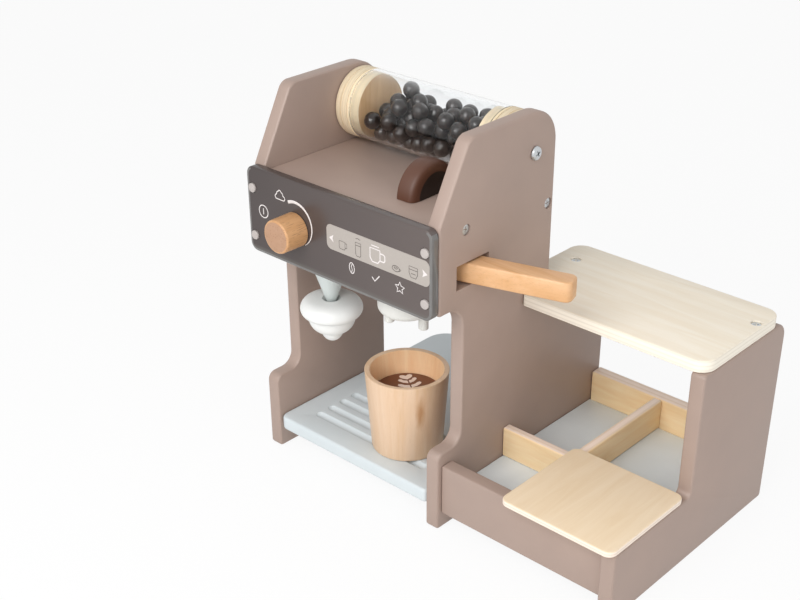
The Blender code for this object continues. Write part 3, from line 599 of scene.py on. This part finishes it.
def beech(name, light, deep, lean=(0, 0, 0), stretch=(1, 1, 0.09), fleck=0.55, streak=0.5):
    """Oiled beech, its grain along the piece's turned Z: year rings 10 mm wide, soft streaks and rays.
    Rays are really 0.1 to 0.3 mm wide and are drawn 0.7 mm, because they wouldn't show."""
    material, tree, shader, place = new_finish(name, 0.42, IOR=1.5)
    tilt = tuple(math.radians(v) for v in lean)
    turned = add(tree, "Mapping", {"Rotation": tilt}, {"Vector": place})
    along = add(tree, "Mapping", {"Scale": stretch}, {"Vector": turned})
    rings = {"Scale": 95, "Detail": 4, "Roughness": 0.6, "Distortion": 0.4}
    year = add(tree, "TexNoise", rings, {"Vector": along})
    reach = add(tree, "MapRange", {"From Min": 0.35, "From Max": 0.68}, {"Value": year})
    ground = add(tree, "Mix", {6: linear(light), 7: linear(deep)}, {0: reach})
    rays = add(tree, "TexNoise", {"Scale": 1500, "Detail": 1, "Roughness": 0.4}, {"Vector": along})
    dash = add(tree, "MapRange", {"From Min": 0.6, "From Max": 0.68, "To Max": fleck}, {"Value": rays})
    flecked = add(tree, "Mix", {7: linear(deep, 0.45)}, {0: dash, 6: ground})
    broad = add(tree, "Mapping", {"Scale": (1, 1, 0.35)}, {"Vector": turned})
    patch = add(tree, "TexNoise", {"Scale": 40, "Detail": 2}, {"Vector": broad})
    soft = {"From Min": 0.52, "From Max": 0.75, "To Max": streak}
    patchy = add(tree, "MapRange", soft, {"Value": patch})
    whole = add(tree, "Mix", {7: linear(deep)}, {0: patchy, 6: flecked})
    feed(shader, "Base Color", whole)
    pores = add(tree, "Bump", {"Strength": 0.12, "Distance": 0.0002}, {"Height": rays})
    feed(shader, "Normal", pores)
    return material


knob_beech = beech("oiled_beech_dowel", "#D2A274", "#C18F60", (90, 0, 0), streak=0.3)
knob_rings = [(12.4, 0), (13.3, 0.2, 0.15), (13.3, 1.2), (13.1, 20.3, 1.5), (6, 20.3), (0.4, 20.3)]
knob = turn("turned_knob", knob_rings, (-41.5, plate_face - 0.3, 214.8), "front", 112)
fit(knob, "dial", knob_beech, "beech", "dial_knob")
knob_end, tree, shader, place, _ = two_tone("beech_end_grain", 0.5, (260, 4), "#B89277", "#AA8264", IOR=1.5)
ground = shader.inputs["Base Color"].links[0].from_socket
flat = add(tree, "Mapping", {"Scale": (1, 0.2, 1)}, {"Vector": place})
pores = add(tree, "TexVoronoi", {"Scale": 620, "Randomness": 1.0}, {"Vector": flat})
dot = {"From Min": 0.14, "From Max": 0.26, "To Min": 0.6, "To Max": 0.0}
dot = add(tree, "MapRange", dot, {"Value": pores})
pored = add(tree, "Mix", {7: linear("#87583A")}, {0: dot, 6: ground})
feed(shader, "Base Color", pored)
refinish(knob, knob_end, lambda face: face.normal.y < -0.99)

# Small steel parts
# Screws, bolts and magnets are steel with bright zinc or nickel on it, plated in a tumbling drum: a clear
# metal, a little uneven in gloss. The drum's marks, really 0.1 mm, are drawn 0.6 mm wide.

finish = two_tone("bright_zinc_plate", 0.3, (1600, 3), "#B4B8BB", "#D6D9DB", Metallic=1.0)
zinc, tree, shader, _, tumbled = finish
worn = add(tree, "MapRange", {"To Min": 0.2, "To Max": 0.42}, {"Value": tumbled})
feed(shader, "Roughness", worn)


def repaint(material, *nodes):
    """Gives solids whose shape is right as they are their real finish."""
    for node in nodes:
        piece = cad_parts[node]
        if not piece.material_slots:
            piece.data.materials.append(material)
        for painted in piece.material_slots:
            painted.material = material


repaint(zinc, "dial_bolt", "half_disc_screw", "portafilter_bolt", "nozzle_magnet", "swirl_magnet")


def cross_screw(name, rings, at, facing, reach, depth, tilt):
    """A screw with a punched cross recess in its head, at a bench point."""
    piece = turn(name, rings, BENCH, "up", 48)
    head = max(ring[1] for ring in rings)
    for angle in (tilt, tilt + 90):
        bpy.ops.mesh.primitive_cube_add(size=1, location=(0, 0, (head - depth / 2 + 0.5) / 1000))
        punch = bpy.context.object
        punch.scale = (reach * 2 / 1000, reach * 0.36 / 1000, (depth + 1) / 1000)
        punch.rotation_euler = (0, 0, math.radians(angle))
        settle(punch)
        cut_away(piece, punch)
    return set_down(piece, at, facing, 30)


flat_head = [(0.6, -6), (1.8, -4), (1.8, -2.4), (3.8, -0.3), (3.8, 0.0, 0.12), (0.5, 0.05)]
sunk = outer - 1.1
places = [(x, y, z, facing) for x, facing in ((-sunk, "left"), (sunk, "right")) for y, z in side_screws]
for number, (x, y, z, facing) in enumerate(places, 1):
    screw = cross_screw(f"panel_screw_{number}", flat_head, (x, y, z), facing, 2.2, 1.2, 15 + 20 * number)
    fit(screw, "frame", zinc, "zinc_steel", f"frame_screw_{number}")
for number, (y, z) in enumerate(tray_screws, 1):
    screw = cross_screw(f"floor_screw_{number}", flat_head, (-sunk, y, z), "left", 2.2, 1.2, 30 * number)
    fit(screw, "frame", zinc, "zinc_steel", f"base_screw_{number}")
drum_y, drum_z = 103.2, 278
pan_head = [(3, -4), (3, 0), (5.2, 0), (5.4, 0.9), (4.7, 2.0), (3.0, 2.6), (0.6, 2.8)]
for name, x in (("left", -outer - 0.3), ("right", outer + 0.3)):
    screw = cross_screw("axle_screw_" + name, pan_head, (x, drum_y, drum_z), name, 2.5, 1.6, 25)
    fit(screw, "frame", zinc, "zinc_steel", "drum_screw_" + name)

# Half disc
# A thick disc turned from beech and sawn in half stands on its cut face on the top board, screwed from
# below. It is sprayed satin chocolate, with one rim domed. Its flat face toward the right board is
# coloured near black: painted shade from the right board.

chocolate = satin_paint("chocolate_satin_paint", "#583626", grain=(0.3, 1, 1), depth=0.7)
half_middle = (38, 50.3, top_face + 0.3)
half_rings = [(6, -8.1), (24.8, -8.1, 1.4), (24.8, 3.4), (24.2, 5.2), (22.8, 6.6), (20.6, 7.6)]
half_rings += [(17.4, 8.1), (0.5, 8.1)]
half = turn("brown_half_disc", half_rings, half_middle, "right", 128)
slice_off(half, spot(*half_middle), (0, 0, -1))
shade(half, 35)
fit(half, "frame", chocolate, "chocolate_paint", "half_disc")
# Painted shade: the flat face toward the right board is coloured near black for the shade of that board.
painted_shade_side = satin_paint("near_black_painted_shade", "#1E110B", grain=(1, 0.3, 1), depth=0.5)
refinish(half, painted_shade_side, lambda face: face.normal.x > 0.995)

# Drum ends
# Each end is a turned birch ply disc with a groove round its rim, and a plug that closes the tube. Clear
# lacquer leaves the wood pale and satin. The plies ring the turned edge, and the faces are plain veneer.
# Inside the tube, the plugs' rims and their tan faces are coloured lighter than the wood: painted light
# that stands in for the lamp light the clear tube holds back.


def birch_ply(name, light, deep, ply_axis, grain, ply=1.25, edge="#F7EADB"):
    """Lacquered birch ply. Its plies, ply mm apart in pairs, show on faces that aren't across ply_axis,
    0 for X, 1 for Y and 2 for Z. Birch pores are really 0.1 mm and are drawn 0.7 mm, so that they show."""
    material, tree, shader, place = new_finish(name, 0.5, IOR=1.5)
    along = add(tree, "Mapping", {"Scale": grain}, {"Vector": place})
    swirl = {"Scale": 130, "Detail": 5, "Roughness": 0.62, "Distortion": 0.7}
    figure = add(tree, "TexNoise", swirl, {"Vector": along})
    spread = add(tree, "MapRange", {"From Min": 0.36, "From Max": 0.66}, {"Value": figure})
    veneer = add(tree, "Mix", {6: linear(light), 7: linear(deep)}, {0: spread})
    split = add(tree, "SeparateXYZ", {}, {0: place}, ply_axis)
    count = add(tree, "Math", {"operation": "MULTIPLY", 1: 1000 / ply * math.pi}, {0: split})
    wave = add(tree, "Math", {"operation": "SINE"}, {0: count})
    pair = {"From Min": 0.1, "From Max": 0.7, "To Max": 0.3}
    layer = add(tree, "MapRange", pair, {"Value": wave})
    plies = add(tree, "Mix", {6: linear(edge), 7: linear(deep, 0.7)}, {0: layer})
    facing = add(tree, "NewGeometry", {}, out="True Normal")
    normal = add(tree, "SeparateXYZ", {}, {0: facing}, ply_axis)
    flat = add(tree, "Math", {"operation": "ABSOLUTE"}, {0: normal})
    edges = {"From Min": 0.5, "From Max": 0.75, "To Min": 1.0, "To Max": 0.0}
    rim_only = add(tree, "MapRange", edges, {"Value": flat})
    whole = add(tree, "Mix", {}, {0: rim_only, 6: veneer, 7: plies})
    feed(shader, "Base Color", whole)
    pores = add(tree, "TexNoise", {"Scale": 1500, "Detail": 2}, {"Vector": along})
    relief = add(tree, "Bump", {"Strength": 0.1, "Distance": 0.0002}, {"Height": pores})
    feed(shader, "Normal", relief)
    return material


drum_birch = birch_ply("birch_ply_disc", "#EEDFC5", "#E0CDAC", 0, (1, 1, 0.12), 1.5, "#E7D5B6")
# Painted light: the plug's rim and face finishes are coloured lighter, for the lamp light the clear tube
# holds back.
plug_birch_painted_light = birch_ply("birch_ply_plug_painted_light", "#FFF4DB", "#FAE8C4", 0, (1, 1, 0.12), 3.0, "#F6E2BF")
plug_face_painted_light = birch_ply("birch_plug_face_painted_light", "#F0CA9C", "#DFB482", 0, (1, 1, 0.1), 1.5)
disc_rings = [(3.4, -6), (26.4, -6), (27.5, -5.6), (27.8, -4.7), (27.8, -1.0), (27.0, -0.7)]
disc_rings += [(27.0, 0.0), (27.8, 0.3), (27.8, 4.7), (27.5, 5.6), (26.4, 6), (3.4, 6)]
plug_rings = [(18, 0), (27.5, 0), (27.8, 0.4), (27.8, 1.8), (27.6, 2.1), (25.3, 2.1)]
plug_rings += [(25.3, 11.1, 0.3), (24.3, 11.6), (0.5, 11.6)]
for name, way, facing in (("left", -1, "right"), ("right", 1, "left")):
    disc = turn("end_disc_" + name, disc_rings, (75.2 * way, drum_y, drum_z), facing, 128)
    fit(disc, "drum", drum_birch, "birch", "drum_disc_" + name)
    start = (68.9 * way, drum_y, drum_z)
    plug = turn("end_plug_" + name, plug_rings, start, facing, 128)
    fit(plug, "drum", plug_birch_painted_light, "birch", "drum_plug_" + name)
    axis = Vector(spot(*start))

    def plug_face(face, axis=axis):
        off = face.center - axis
        return abs(off.x) > 0.011 and off.yz.length < 0.0247

    refinish(plug, plug_face_painted_light, plug_face)

# Clear tube
# An extruded acrylic tube, 2.2 mm thick, sits on the plugs. It is clear as glass, so only its rims and the
# lamps' reflections draw it. Its draw lines run along it, 5 mm apart, as the faintest tint.

clear = {"IOR": 1.49, "Transmission_Weight": 1.0, "Specular_Tint": (0.3, 0.3, 0.3, 1)}
clear["grain"] = (0.03, 1, 1)
tube_acrylic = two_tone("clear_extruded_acrylic", 0.0, (180, 1), "#FBFDFE", "#FFFFFF", **clear)[0]
bpy.ops.mesh.primitive_cylinder_add(
    vertices=128, radius=0.0278, depth=0.133, end_fill_type="NOTHING", location=(0, 0, 0)
)
tube = bpy.context.object
tube.name = "clear_tube_wall"
wall = tube.modifiers.new("wall", "SOLIDIFY")
wall.thickness = 0.0022
wall.offset = -1
bpy.ops.object.modifier_apply(modifier="wall")
set_down(tube, (0, drum_y, drum_z), "right", 30)
fit(tube, "drum", tube_acrylic, "clear_tube", "drum_tube")

# Beads
# Loose 13 mm wooden beads, dipped in dark grey lacquer, lie in the tube as they fell. Each is dropped near
# where it was poured in and keeps the lowest place it finds. Dipping leaves a gloss with a fine peel.

dipped = {"IOR": 1.5, "Coat_Weight": 0.25, "Coat_Roughness": 0.12}
finish = two_tone("dark_grey_bead_lacquer", 0.3, (160, 2), "#1D1410", "#2B1F19", **dipped)
bead_lacquer, tree, shader, place, _ = finish
peel = add(tree, "TexNoise", {"Scale": 900, "Detail": 2}, {"Vector": place})
skin = add(tree, "Bump", {"Strength": 0.08, "Distance": 0.0003}, {"Height": peel})
feed(shader, "Normal", skin)

shaker = random.Random(11)
bead_radius, wall_radius, half_length = 6.5, 25.5, 57.0
beads = []


def rest_height(x, y):
    """How high a bead comes to rest that drops straight down at x and y across the tube's axis."""
    height = -math.sqrt((wall_radius - bead_radius) ** 2 - y * y)
    for other in beads:
        gap = (2 * bead_radius) ** 2 - (other.x - x) ** 2 - (other.y - y) ** 2
        if gap > 0:
            height = max(height, other.z + math.sqrt(gap))
    return height


end_x, side_y = half_length - bead_radius, wall_radius - bead_radius - 0.05
for _ in range(76):
    poured = shaker.choice((shaker.triangular(-end_x, 8, -28), shaker.triangular(-2, end_x, 34)))
    tries = []
    for _ in range(260):
        x = max(-end_x, min(end_x, poured + shaker.uniform(-9, 9)))
        y = shaker.uniform(-side_y, side_y)
        height = rest_height(x, y)
        if math.hypot(height, y) < wall_radius - bead_radius + 0.01:
            uphill = 0.55 * max(0, -24 - x)
            tries.append((height + uphill, height, x, y))
    if tries:
        _, height, x, y = min(tries)
        beads.append(Vector((x, y, height)))
ball = {"segments": 32, "ring_count": 18, "radius": bead_radius / 1000}
bpy.ops.mesh.primitive_uv_sphere_add(location=(0, 0, 0), **ball)
pattern = bpy.context.object
for way in (1, -1):
    slice_off(pattern, (0, 0, 0.0062 * way), (0, 0, way))
ease_edges(pattern, 0.25, 2, 12)
heap = []
for bead in beads:
    copy = pattern.copy()
    copy.data = pattern.data.copy()
    bpy.context.scene.collection.objects.link(copy)
    copy.location = Vector(spot(0, drum_y, drum_z)) + bead / 1000
    copy.rotation_euler = [shaker.uniform(0, math.pi) for _ in range(3)]
    heap.append(copy)
bpy.data.objects.remove(pattern)
heap = join("loose_beads", heap)
bpy.ops.object.shade_smooth()
fit(heap, "frame", bead_lacquer, "bead_paint", "drum_beads")

# Brewing head and portafilter bowl
# Both are turned from beech and sprayed satin white, in a greyer white than the foam's, close enough in
# grain to look smooth. The bowl hangs on a bolt under the head, with a rounded foot and a drilled spout on
# each side.

head_paint = satin_paint("greyer_white_satin_paint", "#D9D8D3", grain=(1, 1, 0.2), depth=0.5)
head_x, head_y = 40.5, 24.3
head_rings = [(7, 245), (7, 236.3), (19, 236.3, 0.6), (19, 221.2), (18.6, 220.2), (17.8, 219.8)]
head = turn("brewing_head", head_rings + [(3.2, 219.8)], (head_x, head_y, 0))
fit(head, "frame", head_paint, "white_paint", "brew_head")
bowl_rings = [(5.5, 162), (11, 162)]
for k in range(11):
    a = math.radians(-84 + 84 * k / 10)
    bowl_rings.append((14.6 + 7 * math.cos(a), 169 + 7 * math.sin(a)))
bowl_rings += [(21.6, 219.5, 1.2), (2.8, 219.5)]
bowl = turn("portafilter_cup", bowl_rings, (head_x, head_y, 0), "up", 128)
pocket = turn("bolt_pocket", [(5.5, 155), (5.5, 167.5)], (head_x, head_y, 0), "up", 48)
cut_away(bowl, pocket)
shade(bowl, 32)
fit(bowl, "portafilter", head_paint, "white_paint", "portafilter_bowl")
swing = math.radians(16.5)
for name, side in (("left", -14.2), ("right", 14.2)):
    at = (head_x + side * math.cos(swing), head_y + side * math.sin(swing), 0)
    spout = turn("pouring_" + name, [(3.2, 150.5), (3.8, 151.1), (3.8, 173.5)], at, "up", 48)
    cut_away(spout, turn("drip_hole", [(1.5, 148), (1.5, 158)], at, "up", 32))
    shade(spout, 32)
    fit(spout, "portafilter", head_paint, "white_paint", "spout_" + name)

# Portafilter handle
# A beech bar, tenoned into the bowl, that leaves through the window in the right side board. It is sawn
# along the grain, planed, tapered a little, sanded round at its end and oiled, so it shows few rays.

handle_beech = beech("oiled_beech_bar", "#E4B78B", "#D4A16E", (0, 90, 0), (1, 1, 0.05), 0.15, 0.35)
handle_end, half_width, taper = 170.5, 9, 0.94
low, high = (51.5, head_y - half_width, 200.2), (handle_end, head_y + half_width, 215.8)
handle = board("handle_bar", low, high)
alone(handle)
bpy.ops.object.mode_set(mode="EDIT")
bpy.ops.mesh.select_all(action="DESELECT")
shell = bmesh.from_edit_mesh(handle.data)
for vertex in shell.verts:
    vertex.select_set(vertex.co.x > spot(160, 0, 0)[0])
shell.select_flush(True)
bmesh.update_edit_mesh(handle.data)
bpy.ops.transform.resize(value=(1, taper, 1), center_override=spot(handle_end, head_y, 208))
leave_edit()
for side in (-1, 1):
    round_corner(handle, handle_end, head_y + side * half_width * taper, None, 5.5)
ease_edges(handle, 1.6, 4)
pivot = Vector(spot(head_x, head_y, 0))
handle.data.transform(Matrix.Translation(-pivot))
handle.data.transform(Matrix.Translation(pivot) @ Matrix.Rotation(swing, 4, "Z"))
fit(handle, "portafilter", handle_beech, "beech", "portafilter_handle")

# Milk nozzle
# A long beech cone, turned and sprayed satin pale grey, is glued under the top board. A round magnet is
# let into its tip.

nozzle_paint = satin_paint("pale_grey_satin_paint", "#D3DAD8", grain=(1, 1, 0.2), depth=0.5)
nozzle_at = (-40.5, 25, 0)
nozzle_rings = [(2.2, 142.3), (3.5, 142.2, 0.3), (10.6, 163.2), (17.5, 184, 1.2), (17.5, 236.3)]
nozzle = turn("milk_nozzle", nozzle_rings + [(7, 236.3), (7, 244)], nozzle_at)
fit(nozzle, "frame", nozzle_paint, "pale_grey_paint", "steam_nozzle")

# Milk foam
# Three fat rounded tiers turned from one block of beech, tip down, like foam from a can, and sprayed satin
# white. The nozzle's tip goes into a socket in the top, and a magnet there holds the foam up.

white_paint = satin_paint("white_satin_paint", "#ECEDEB", grain=(1, 1, 0.2), depth=0.5)
foam_rings = [(0.4, 108.3)]
for across, level, width, tall, low, high, count in (
    (0, 117.6, 8.8, 9.3, -82, -4, 8),
    (8.7, 131.1, 10.4, 13.5, -86, -4, 10),
    (18.9, 137.4, 6.0, 6.3, -88, 0, 8),
    (15, 137.4, 9.9, 8.4, 8, 90, 9),
):
    for k in range(count + 1):
        a = math.radians(low + (high - low) * k / count)
        foam_rings.append((across + width * math.cos(a), level + tall * math.sin(a)))
foam_rings += [(10.4, 146.0), (7.3, 145.6), (6.8, 145.1), (5.9, 144.5), (5.2, 143.9)]
foam = turn("foam_tiers", foam_rings + [(4.6, 141.9), (0.5, 141.9)], nozzle_at, "up", 128)
shade(foam, 38)
fit(foam, "foam", white_paint, "white_paint", "foam_swirl")


def in_hollow(at, radius, level):
    """A test for faces above a level and within the radius of the upright axis through a bench point."""
    axis = Vector(spot(*at[:2], level))

    def wanted(face):
        off = face.center - axis
        return off.xy.length < radius / 1000 and off.z > 0

    return wanted


# Painted shade: the socket's faces are coloured grey for the shade in the hollow round the nozzle's tip.
socket_painted_shade = satin_paint("socket_painted_shade_grey", "#C9CDCB", depth=0.6)
refinish(foam, socket_painted_shade, in_hollow(nozzle_at, 7.8, 140.5))

# Cup
# Turned from one piece of light beech with the grain upright, with a ledge inside for the coffee disc. It
# is only waxed, so it stays pale and shows reddish streaks and one brown heart streak. Its inside is
# coloured lighter and warmer as painted light, for light thrown back and forth inside the hollow.

cup_beech = beech("light_beech_cup", "#E4C6A9", "#DAB58F", (0, 0, 0), (1, 1, 0.07), 0.07, 0.35)
cup_x, cup_y, cup_z = cup_at = (25.5, 41, floor_face + 0.3)
cup_rings = [(27.4, 0), (28.2, 0.3), (28.6, 1.2), (33.4, 67.9), (33.5, 68.6), (33.0, 69.0)]
cup_rings += [(29.9, 69.0), (29.4, 68.6), (29.3, 67.8), (27.1, 43.4), (24.9, 43.4), (22.0, 9.0)]
cup = turn("turned_cup", cup_rings + [(0.5, 9.0)], cup_at, "up", 128)
fit(cup, "cup", cup_beech, "light_beech", "cup")
tree = cup_beech.node_tree
shader = tree.nodes["Principled BSDF"]
place = add(tree, "TexCoord", {}, out="Object")
heart = {"vector_type": "TEXTURE", "Location": spot(53.7, 26.0, 77), "Scale": (0.006, 0.0045, 0.018)}
heart = add(tree, "Mapping", heart, {"Vector": place})
ragged = add(tree, "TexNoise", {"Scale": 1.6, "Detail": 3}, {"Vector": heart}, "Color")
bend = {"operation": "MULTIPLY_ADD", 1: (0.7, 0.7, 0.7), 2: (-0.35, -0.35, -0.35)}
bend = add(tree, "VectorMath", bend, {0: ragged})
moved = add(tree, "VectorMath", {"operation": "ADD"}, {0: heart, 1: bend})
ball = add(tree, "TexGradient", {"gradient_type": "SPHERICAL"}, {"Vector": moved}, "Fac")
strength = add(tree, "MapRange", {"From Max": 0.8, "To Max": 0.75}, {"Value": ball})
clean = shader.inputs["Base Color"].links[0].from_socket
streaked = {7: linear("#B07A48")}
streaked = add(tree, "Mix", streaked, {0: strength, 6: clean})
feed(shader, "Base Color", streaked)
# Painted light: the inside is coloured lighter and more orange, for light bouncing round the hollow.
cup_inside_painted_light = beech("light_beech_cup_inside_painted_light", "#FFDDB4", "#F6C99B", (0, 0, 0), (1, 1, 0.07), 0.07, 0.3)
refinish(cup, cup_inside_painted_light, in_hollow(cup_at, 29.5, cup_z + 5))

# Coffee
# A turned disc with brown satin lacquer lies on the cup's ledge. A leaf of milk is printed on it, a heart
# over paired petals, as it is commonly poured. The print is flat cream with blots 2 mm wide.

coffee_paint = satin_paint("coffee_satin_lacquer", "#73462F", grain=(1, 0.3, 1), depth=0.6)
coffee_rings = [(26.4, 43.7), (26.8, 44.1), (26.8, 48.9), (26.5, 49.2), (0.5, 49.2)]
coffee = turn("coffee_top", coffee_rings, cup_at)
fit(coffee, "coffee", coffee_paint, "coffee_paint", "coffee_disc")
milk_ink = two_tone("milk_print", 0.4, (500, 3), "#E4D2C8", "#F1E4DC")[0]
coffee_face, leaf_lean, leaf_shift = cup_z + 49.2, math.radians(57), 4.2


def petal(points):
    """A flat printed shape with its corners at (across, along) the leaf, from the disc's middle."""
    c, s = math.cos(leaf_lean), math.sin(leaf_lean)
    corners = [(u + leaf_shift, v) for u, v in points]
    corners = [(cup_x + u * c - v * s, cup_y + u * s + v * c, coffee_face) for u, v in corners]
    return printed_shape(corners, (0, 0, 0.14))


heart = [(0, 15.6), (2.6, 17.2), (4.8, 19.2), (5.4, 21.4), (4.1, 23.2), (1.9, 22.9), (0, 21.3)]
leaf = [petal(heart + [(-u, v) for u, v in reversed(heart[1:-1])])]
for row, reach in enumerate((7.6, 9.6, 14.6, 11.0)):
    foot = 9.7 - 7.3 * row
    outline = [(0.6, 0), (reach * 0.55, 1.6), (reach - 0.8, 4.2), (reach + 0.1, 6.0)]
    outline += [(reach - 0.9, 7.6), (reach - 3.0, 7.0), (reach * 0.45, 5.0), (0.6, 4.0)]
    leaf += [petal([(side * u, foot + v) for u, v in outline]) for side in (-1, 1)]
leaf = join("milk_leaf", leaf)
fit(leaf, "coffee", milk_ink, "white_paint")

# Side station
# An open box beside the machine: a pale grey floor let in between the right side board and an end board,
# a taupe front rail, and lacquered birch ply dividers and back rail, all glued and dowelled.

station_left, station_right, rail_top = outer + 0.3, 242.7, 57.5
end_left, end_right, station_deep = 243, 255, 95


def station_board(name, low, high, edge, *finish):
    """A board of the station with its edges rounded over, fitted to the frame."""
    piece = board(name, low, high)
    ease_edges(piece, edge)
    fit(piece, "frame", *finish)


floor_paint = satin_paint("station_floor_paint", "#DEE6EA", grain=(1, 0.06, 1))
low, high = (station_left, 16.3, floor_under), (station_right, 196.2, floor_face)
station_board("station_bottom", low, high, 1.0, floor_paint, "grey_paint", "station_floor")
low, high = (station_left, 4, 14.3), (station_right, 16, rail_top)
station_board("station_front", low, high, 1.5, taupe_across, "taupe_paint", "front_rail")
ply_front = birch_ply("birch_ply_upright", "#FFE6BC", "#F8D7A6", 1, (0.1, 1, 1), 2.6, "#F5E1D2")
low, high = (station_left, 196.5, floor_under), (station_right, toy_back, rail_top)
station_board("station_back", low, high, 1.5, ply_front, "birch", "back_rail")
low, high = (station_left, 77.3, floor_face + 0.3), (station_right, 85.3, rail_top)
station_board("divider_across", low, high, 1.4, ply_front, "birch", "cross_divider")
ply_side = birch_ply("birch_ply_lengthwise", "#FFE6BC", "#F8D7A6", 0, (1, 0.1, 1), 2.6, "#F5E1D2")
low, high = (156.5, 85.6, floor_face + 0.3), (164.5, 196.2, rail_top)
station_board("divider_along", low, high, 1.4, ply_side, "birch", "long_divider")
end = board("end_side", (end_left, 0, 0), (end_right, toy_back, shelf_under))
cut_away(end, board("end_saw", (end_left - 3, -20, rail_top), (end_right + 5, station_deep, 180)))
round_corner(end, None, station_deep, rail_top, 5)
for y, z in ((0, rail_top), (0, 0), (station_deep, shelf_under), (toy_back, 0)):
    round_corner(end, None, y, z, 3)
round_corner(end, None, toy_back, shelf_under, 12)
ease_edges(end, 1.9)
fit(end, "frame", taupe, "taupe_paint", "end_panel")
repaint(drum_birch, "base_dowel_1", "base_dowel_2")

# Lid
# A loose 5 mm birch ply lid lies on the station's front rail and divider. It is lacquered, its corners are
# sanded round, and its veneer runs front to back.

lid_ply = birch_ply("birch_ply_lid", "#F2DDBF", "#ECD4B2", 2, (1, 0.09, 1), 1.25, "#F9E9DA")
lid_left, lid_front, lid_back = 157.2, -5.2, 87.3
lid_under = rail_top + 0.3
lid = board("loose_lid", (lid_left, lid_front, lid_under), (end_right, lid_back, lid_under + 5))
for x in (lid_left, end_right):
    for y in (lid_front, lid_back):
        round_corner(lid, x, y, None, 7)
ease_edges(lid, 1.2)
fit(lid, "lid", lid_ply, "birch", "station_lid")

# Shelf
# The lacquered birch ply shelf rests on the right side board and the end board, and is screwed down into
# both. It is cut out round the machine's back, and its veneer runs along it.

shelf_ply = birch_ply("birch_ply_shelf", "#FAF1E0", "#F5E9D4", 2, (0.09, 1, 1), 1.6, "#FBF3E4")
shelf_left, shelf_back, shelf_top, shelf_screw_y = 70.5, 199.5, 168.3, 171.6
low, high = (shelf_left, station_deep, shelf_under + 0.3), (end_right, shelf_back, shelf_top)
shelf = board("station_shelf", low, high)
cut_away(shelf, board("shelf_saw", (60, 80, 150), (station_left, machine_back + 1.2, 175)))
round_corner(shelf, station_left, station_deep, None, 3)
for x, y in ((end_right, station_deep), (end_right, shelf_back), (shelf_left, shelf_back)):
    round_corner(shelf, x, y, None, 12)
ease_edges(shelf, 1.2)
for x in (88, 249):
    countersink(shelf, (x, shelf_screw_y, shelf_top), "up", 1.5)
shade(shelf)
fit(shelf, "frame", shelf_ply, "birch", "shelf")
for name, x in (("left", 88), ("right", 249)):
    at = (x, shelf_screw_y, shelf_top - 1)
    screw = cross_screw("shelf_top_" + name, flat_head, at, "up", 2.2, 1.2, 35)
    fit(screw, "frame", zinc, "zinc_steel", "shelf_screw_" + name)

# Table, lamps and camera
# A white table top that keeps the soft shadow, and wide soft lamps from the front left and the right, as
# for a catalogue picture. Table and room look white to the eye, to gloss and through the clear tube.


def looked_at(tree):
    """1 for rays that go to the eye, to gloss or through something clear, and 0 for the others."""
    rays = ("Is Camera Ray", "Is Transmission Ray", "Is Glossy Ray")
    eye, clear, gloss = (add(tree, "LightPath", {}, out=ray) for ray in rays)
    either = add(tree, "Math", {"operation": "MAXIMUM"}, {0: eye, 1: clear})
    return add(tree, "Math", {"operation": "MAXIMUM"}, {0: either, 1: gloss})


table_top, tree, shader = two_tone("white_table", 0.6, (5, 2), "#F4F4F4", "#F8F8F8")[:3]
plain = add(tree, "Emission", {"Color": (1, 1, 1, 1), "Strength": 1.0})
part = add(tree, "Math", {"operation": "MULTIPLY", 1: 0.9}, {0: looked_at(tree)})
both = add(tree, "MixShader", {}, {0: part, 1: shader.outputs[0], 2: plain})
tree.links.new(both, tree.nodes["Material Output"].inputs["Surface"])
bpy.ops.mesh.primitive_plane_add(size=30, location=(0, 0, -0.0004))
table = bpy.context.object
table.name = "table"
table.data.materials.append(table_top)

world = bpy.data.worlds.new("studio")
bpy.context.scene.world = world
world.use_nodes = True
tree = world.node_tree
background = tree.nodes["Background"]
level = add(tree, "MapRange", {"To Min": 0.51, "To Max": 1.0}, {"Value": looked_at(tree)})
background.inputs["Color"].default_value = (1, 1, 1, 1)
tree.links.new(level, background.inputs["Strength"])


def lamp(name, at, aim, size, power):
    """A square soft lamp at one bench point, turned to another."""
    light = bpy.data.lights.new(name, "AREA")
    light.shape = "SQUARE"
    light.size = size
    light.energy = power
    holder = bpy.data.objects.new(name, light)
    bpy.context.scene.collection.objects.link(holder)
    holder.location = spot(*at)
    beam = Vector(spot(*aim)) - holder.location
    holder.rotation_euler = beam.to_track_quat("-Z", "Y").to_euler()


lamp("key_lamp", (180, -860, 820), (60, 40, 130), 0.8, 9.6)
lamp("side_lamp", (1400, -250, 420), (100, 80, 120), 1.0, 4.0)

camera = bpy.data.objects.new("camera", bpy.data.cameras.new("camera"))
bpy.context.scene.collection.objects.link(camera)
camera.location = spot(638.37, -622.15, 619.03)
camera.rotation_euler = Euler((math.radians(90 - 29.94), 0, math.radians(42.18)))
camera.data.sensor_width = 36
camera.data.lens = 59.826
camera.data.shift_x = -0.02298
camera.data.shift_y = 0.0869
camera.data.clip_start = 0.05
camera.data.clip_end = 20
bpy.context.scene.camera = camera
bpy.context.scene.view_settings.view_transform = "Standard"
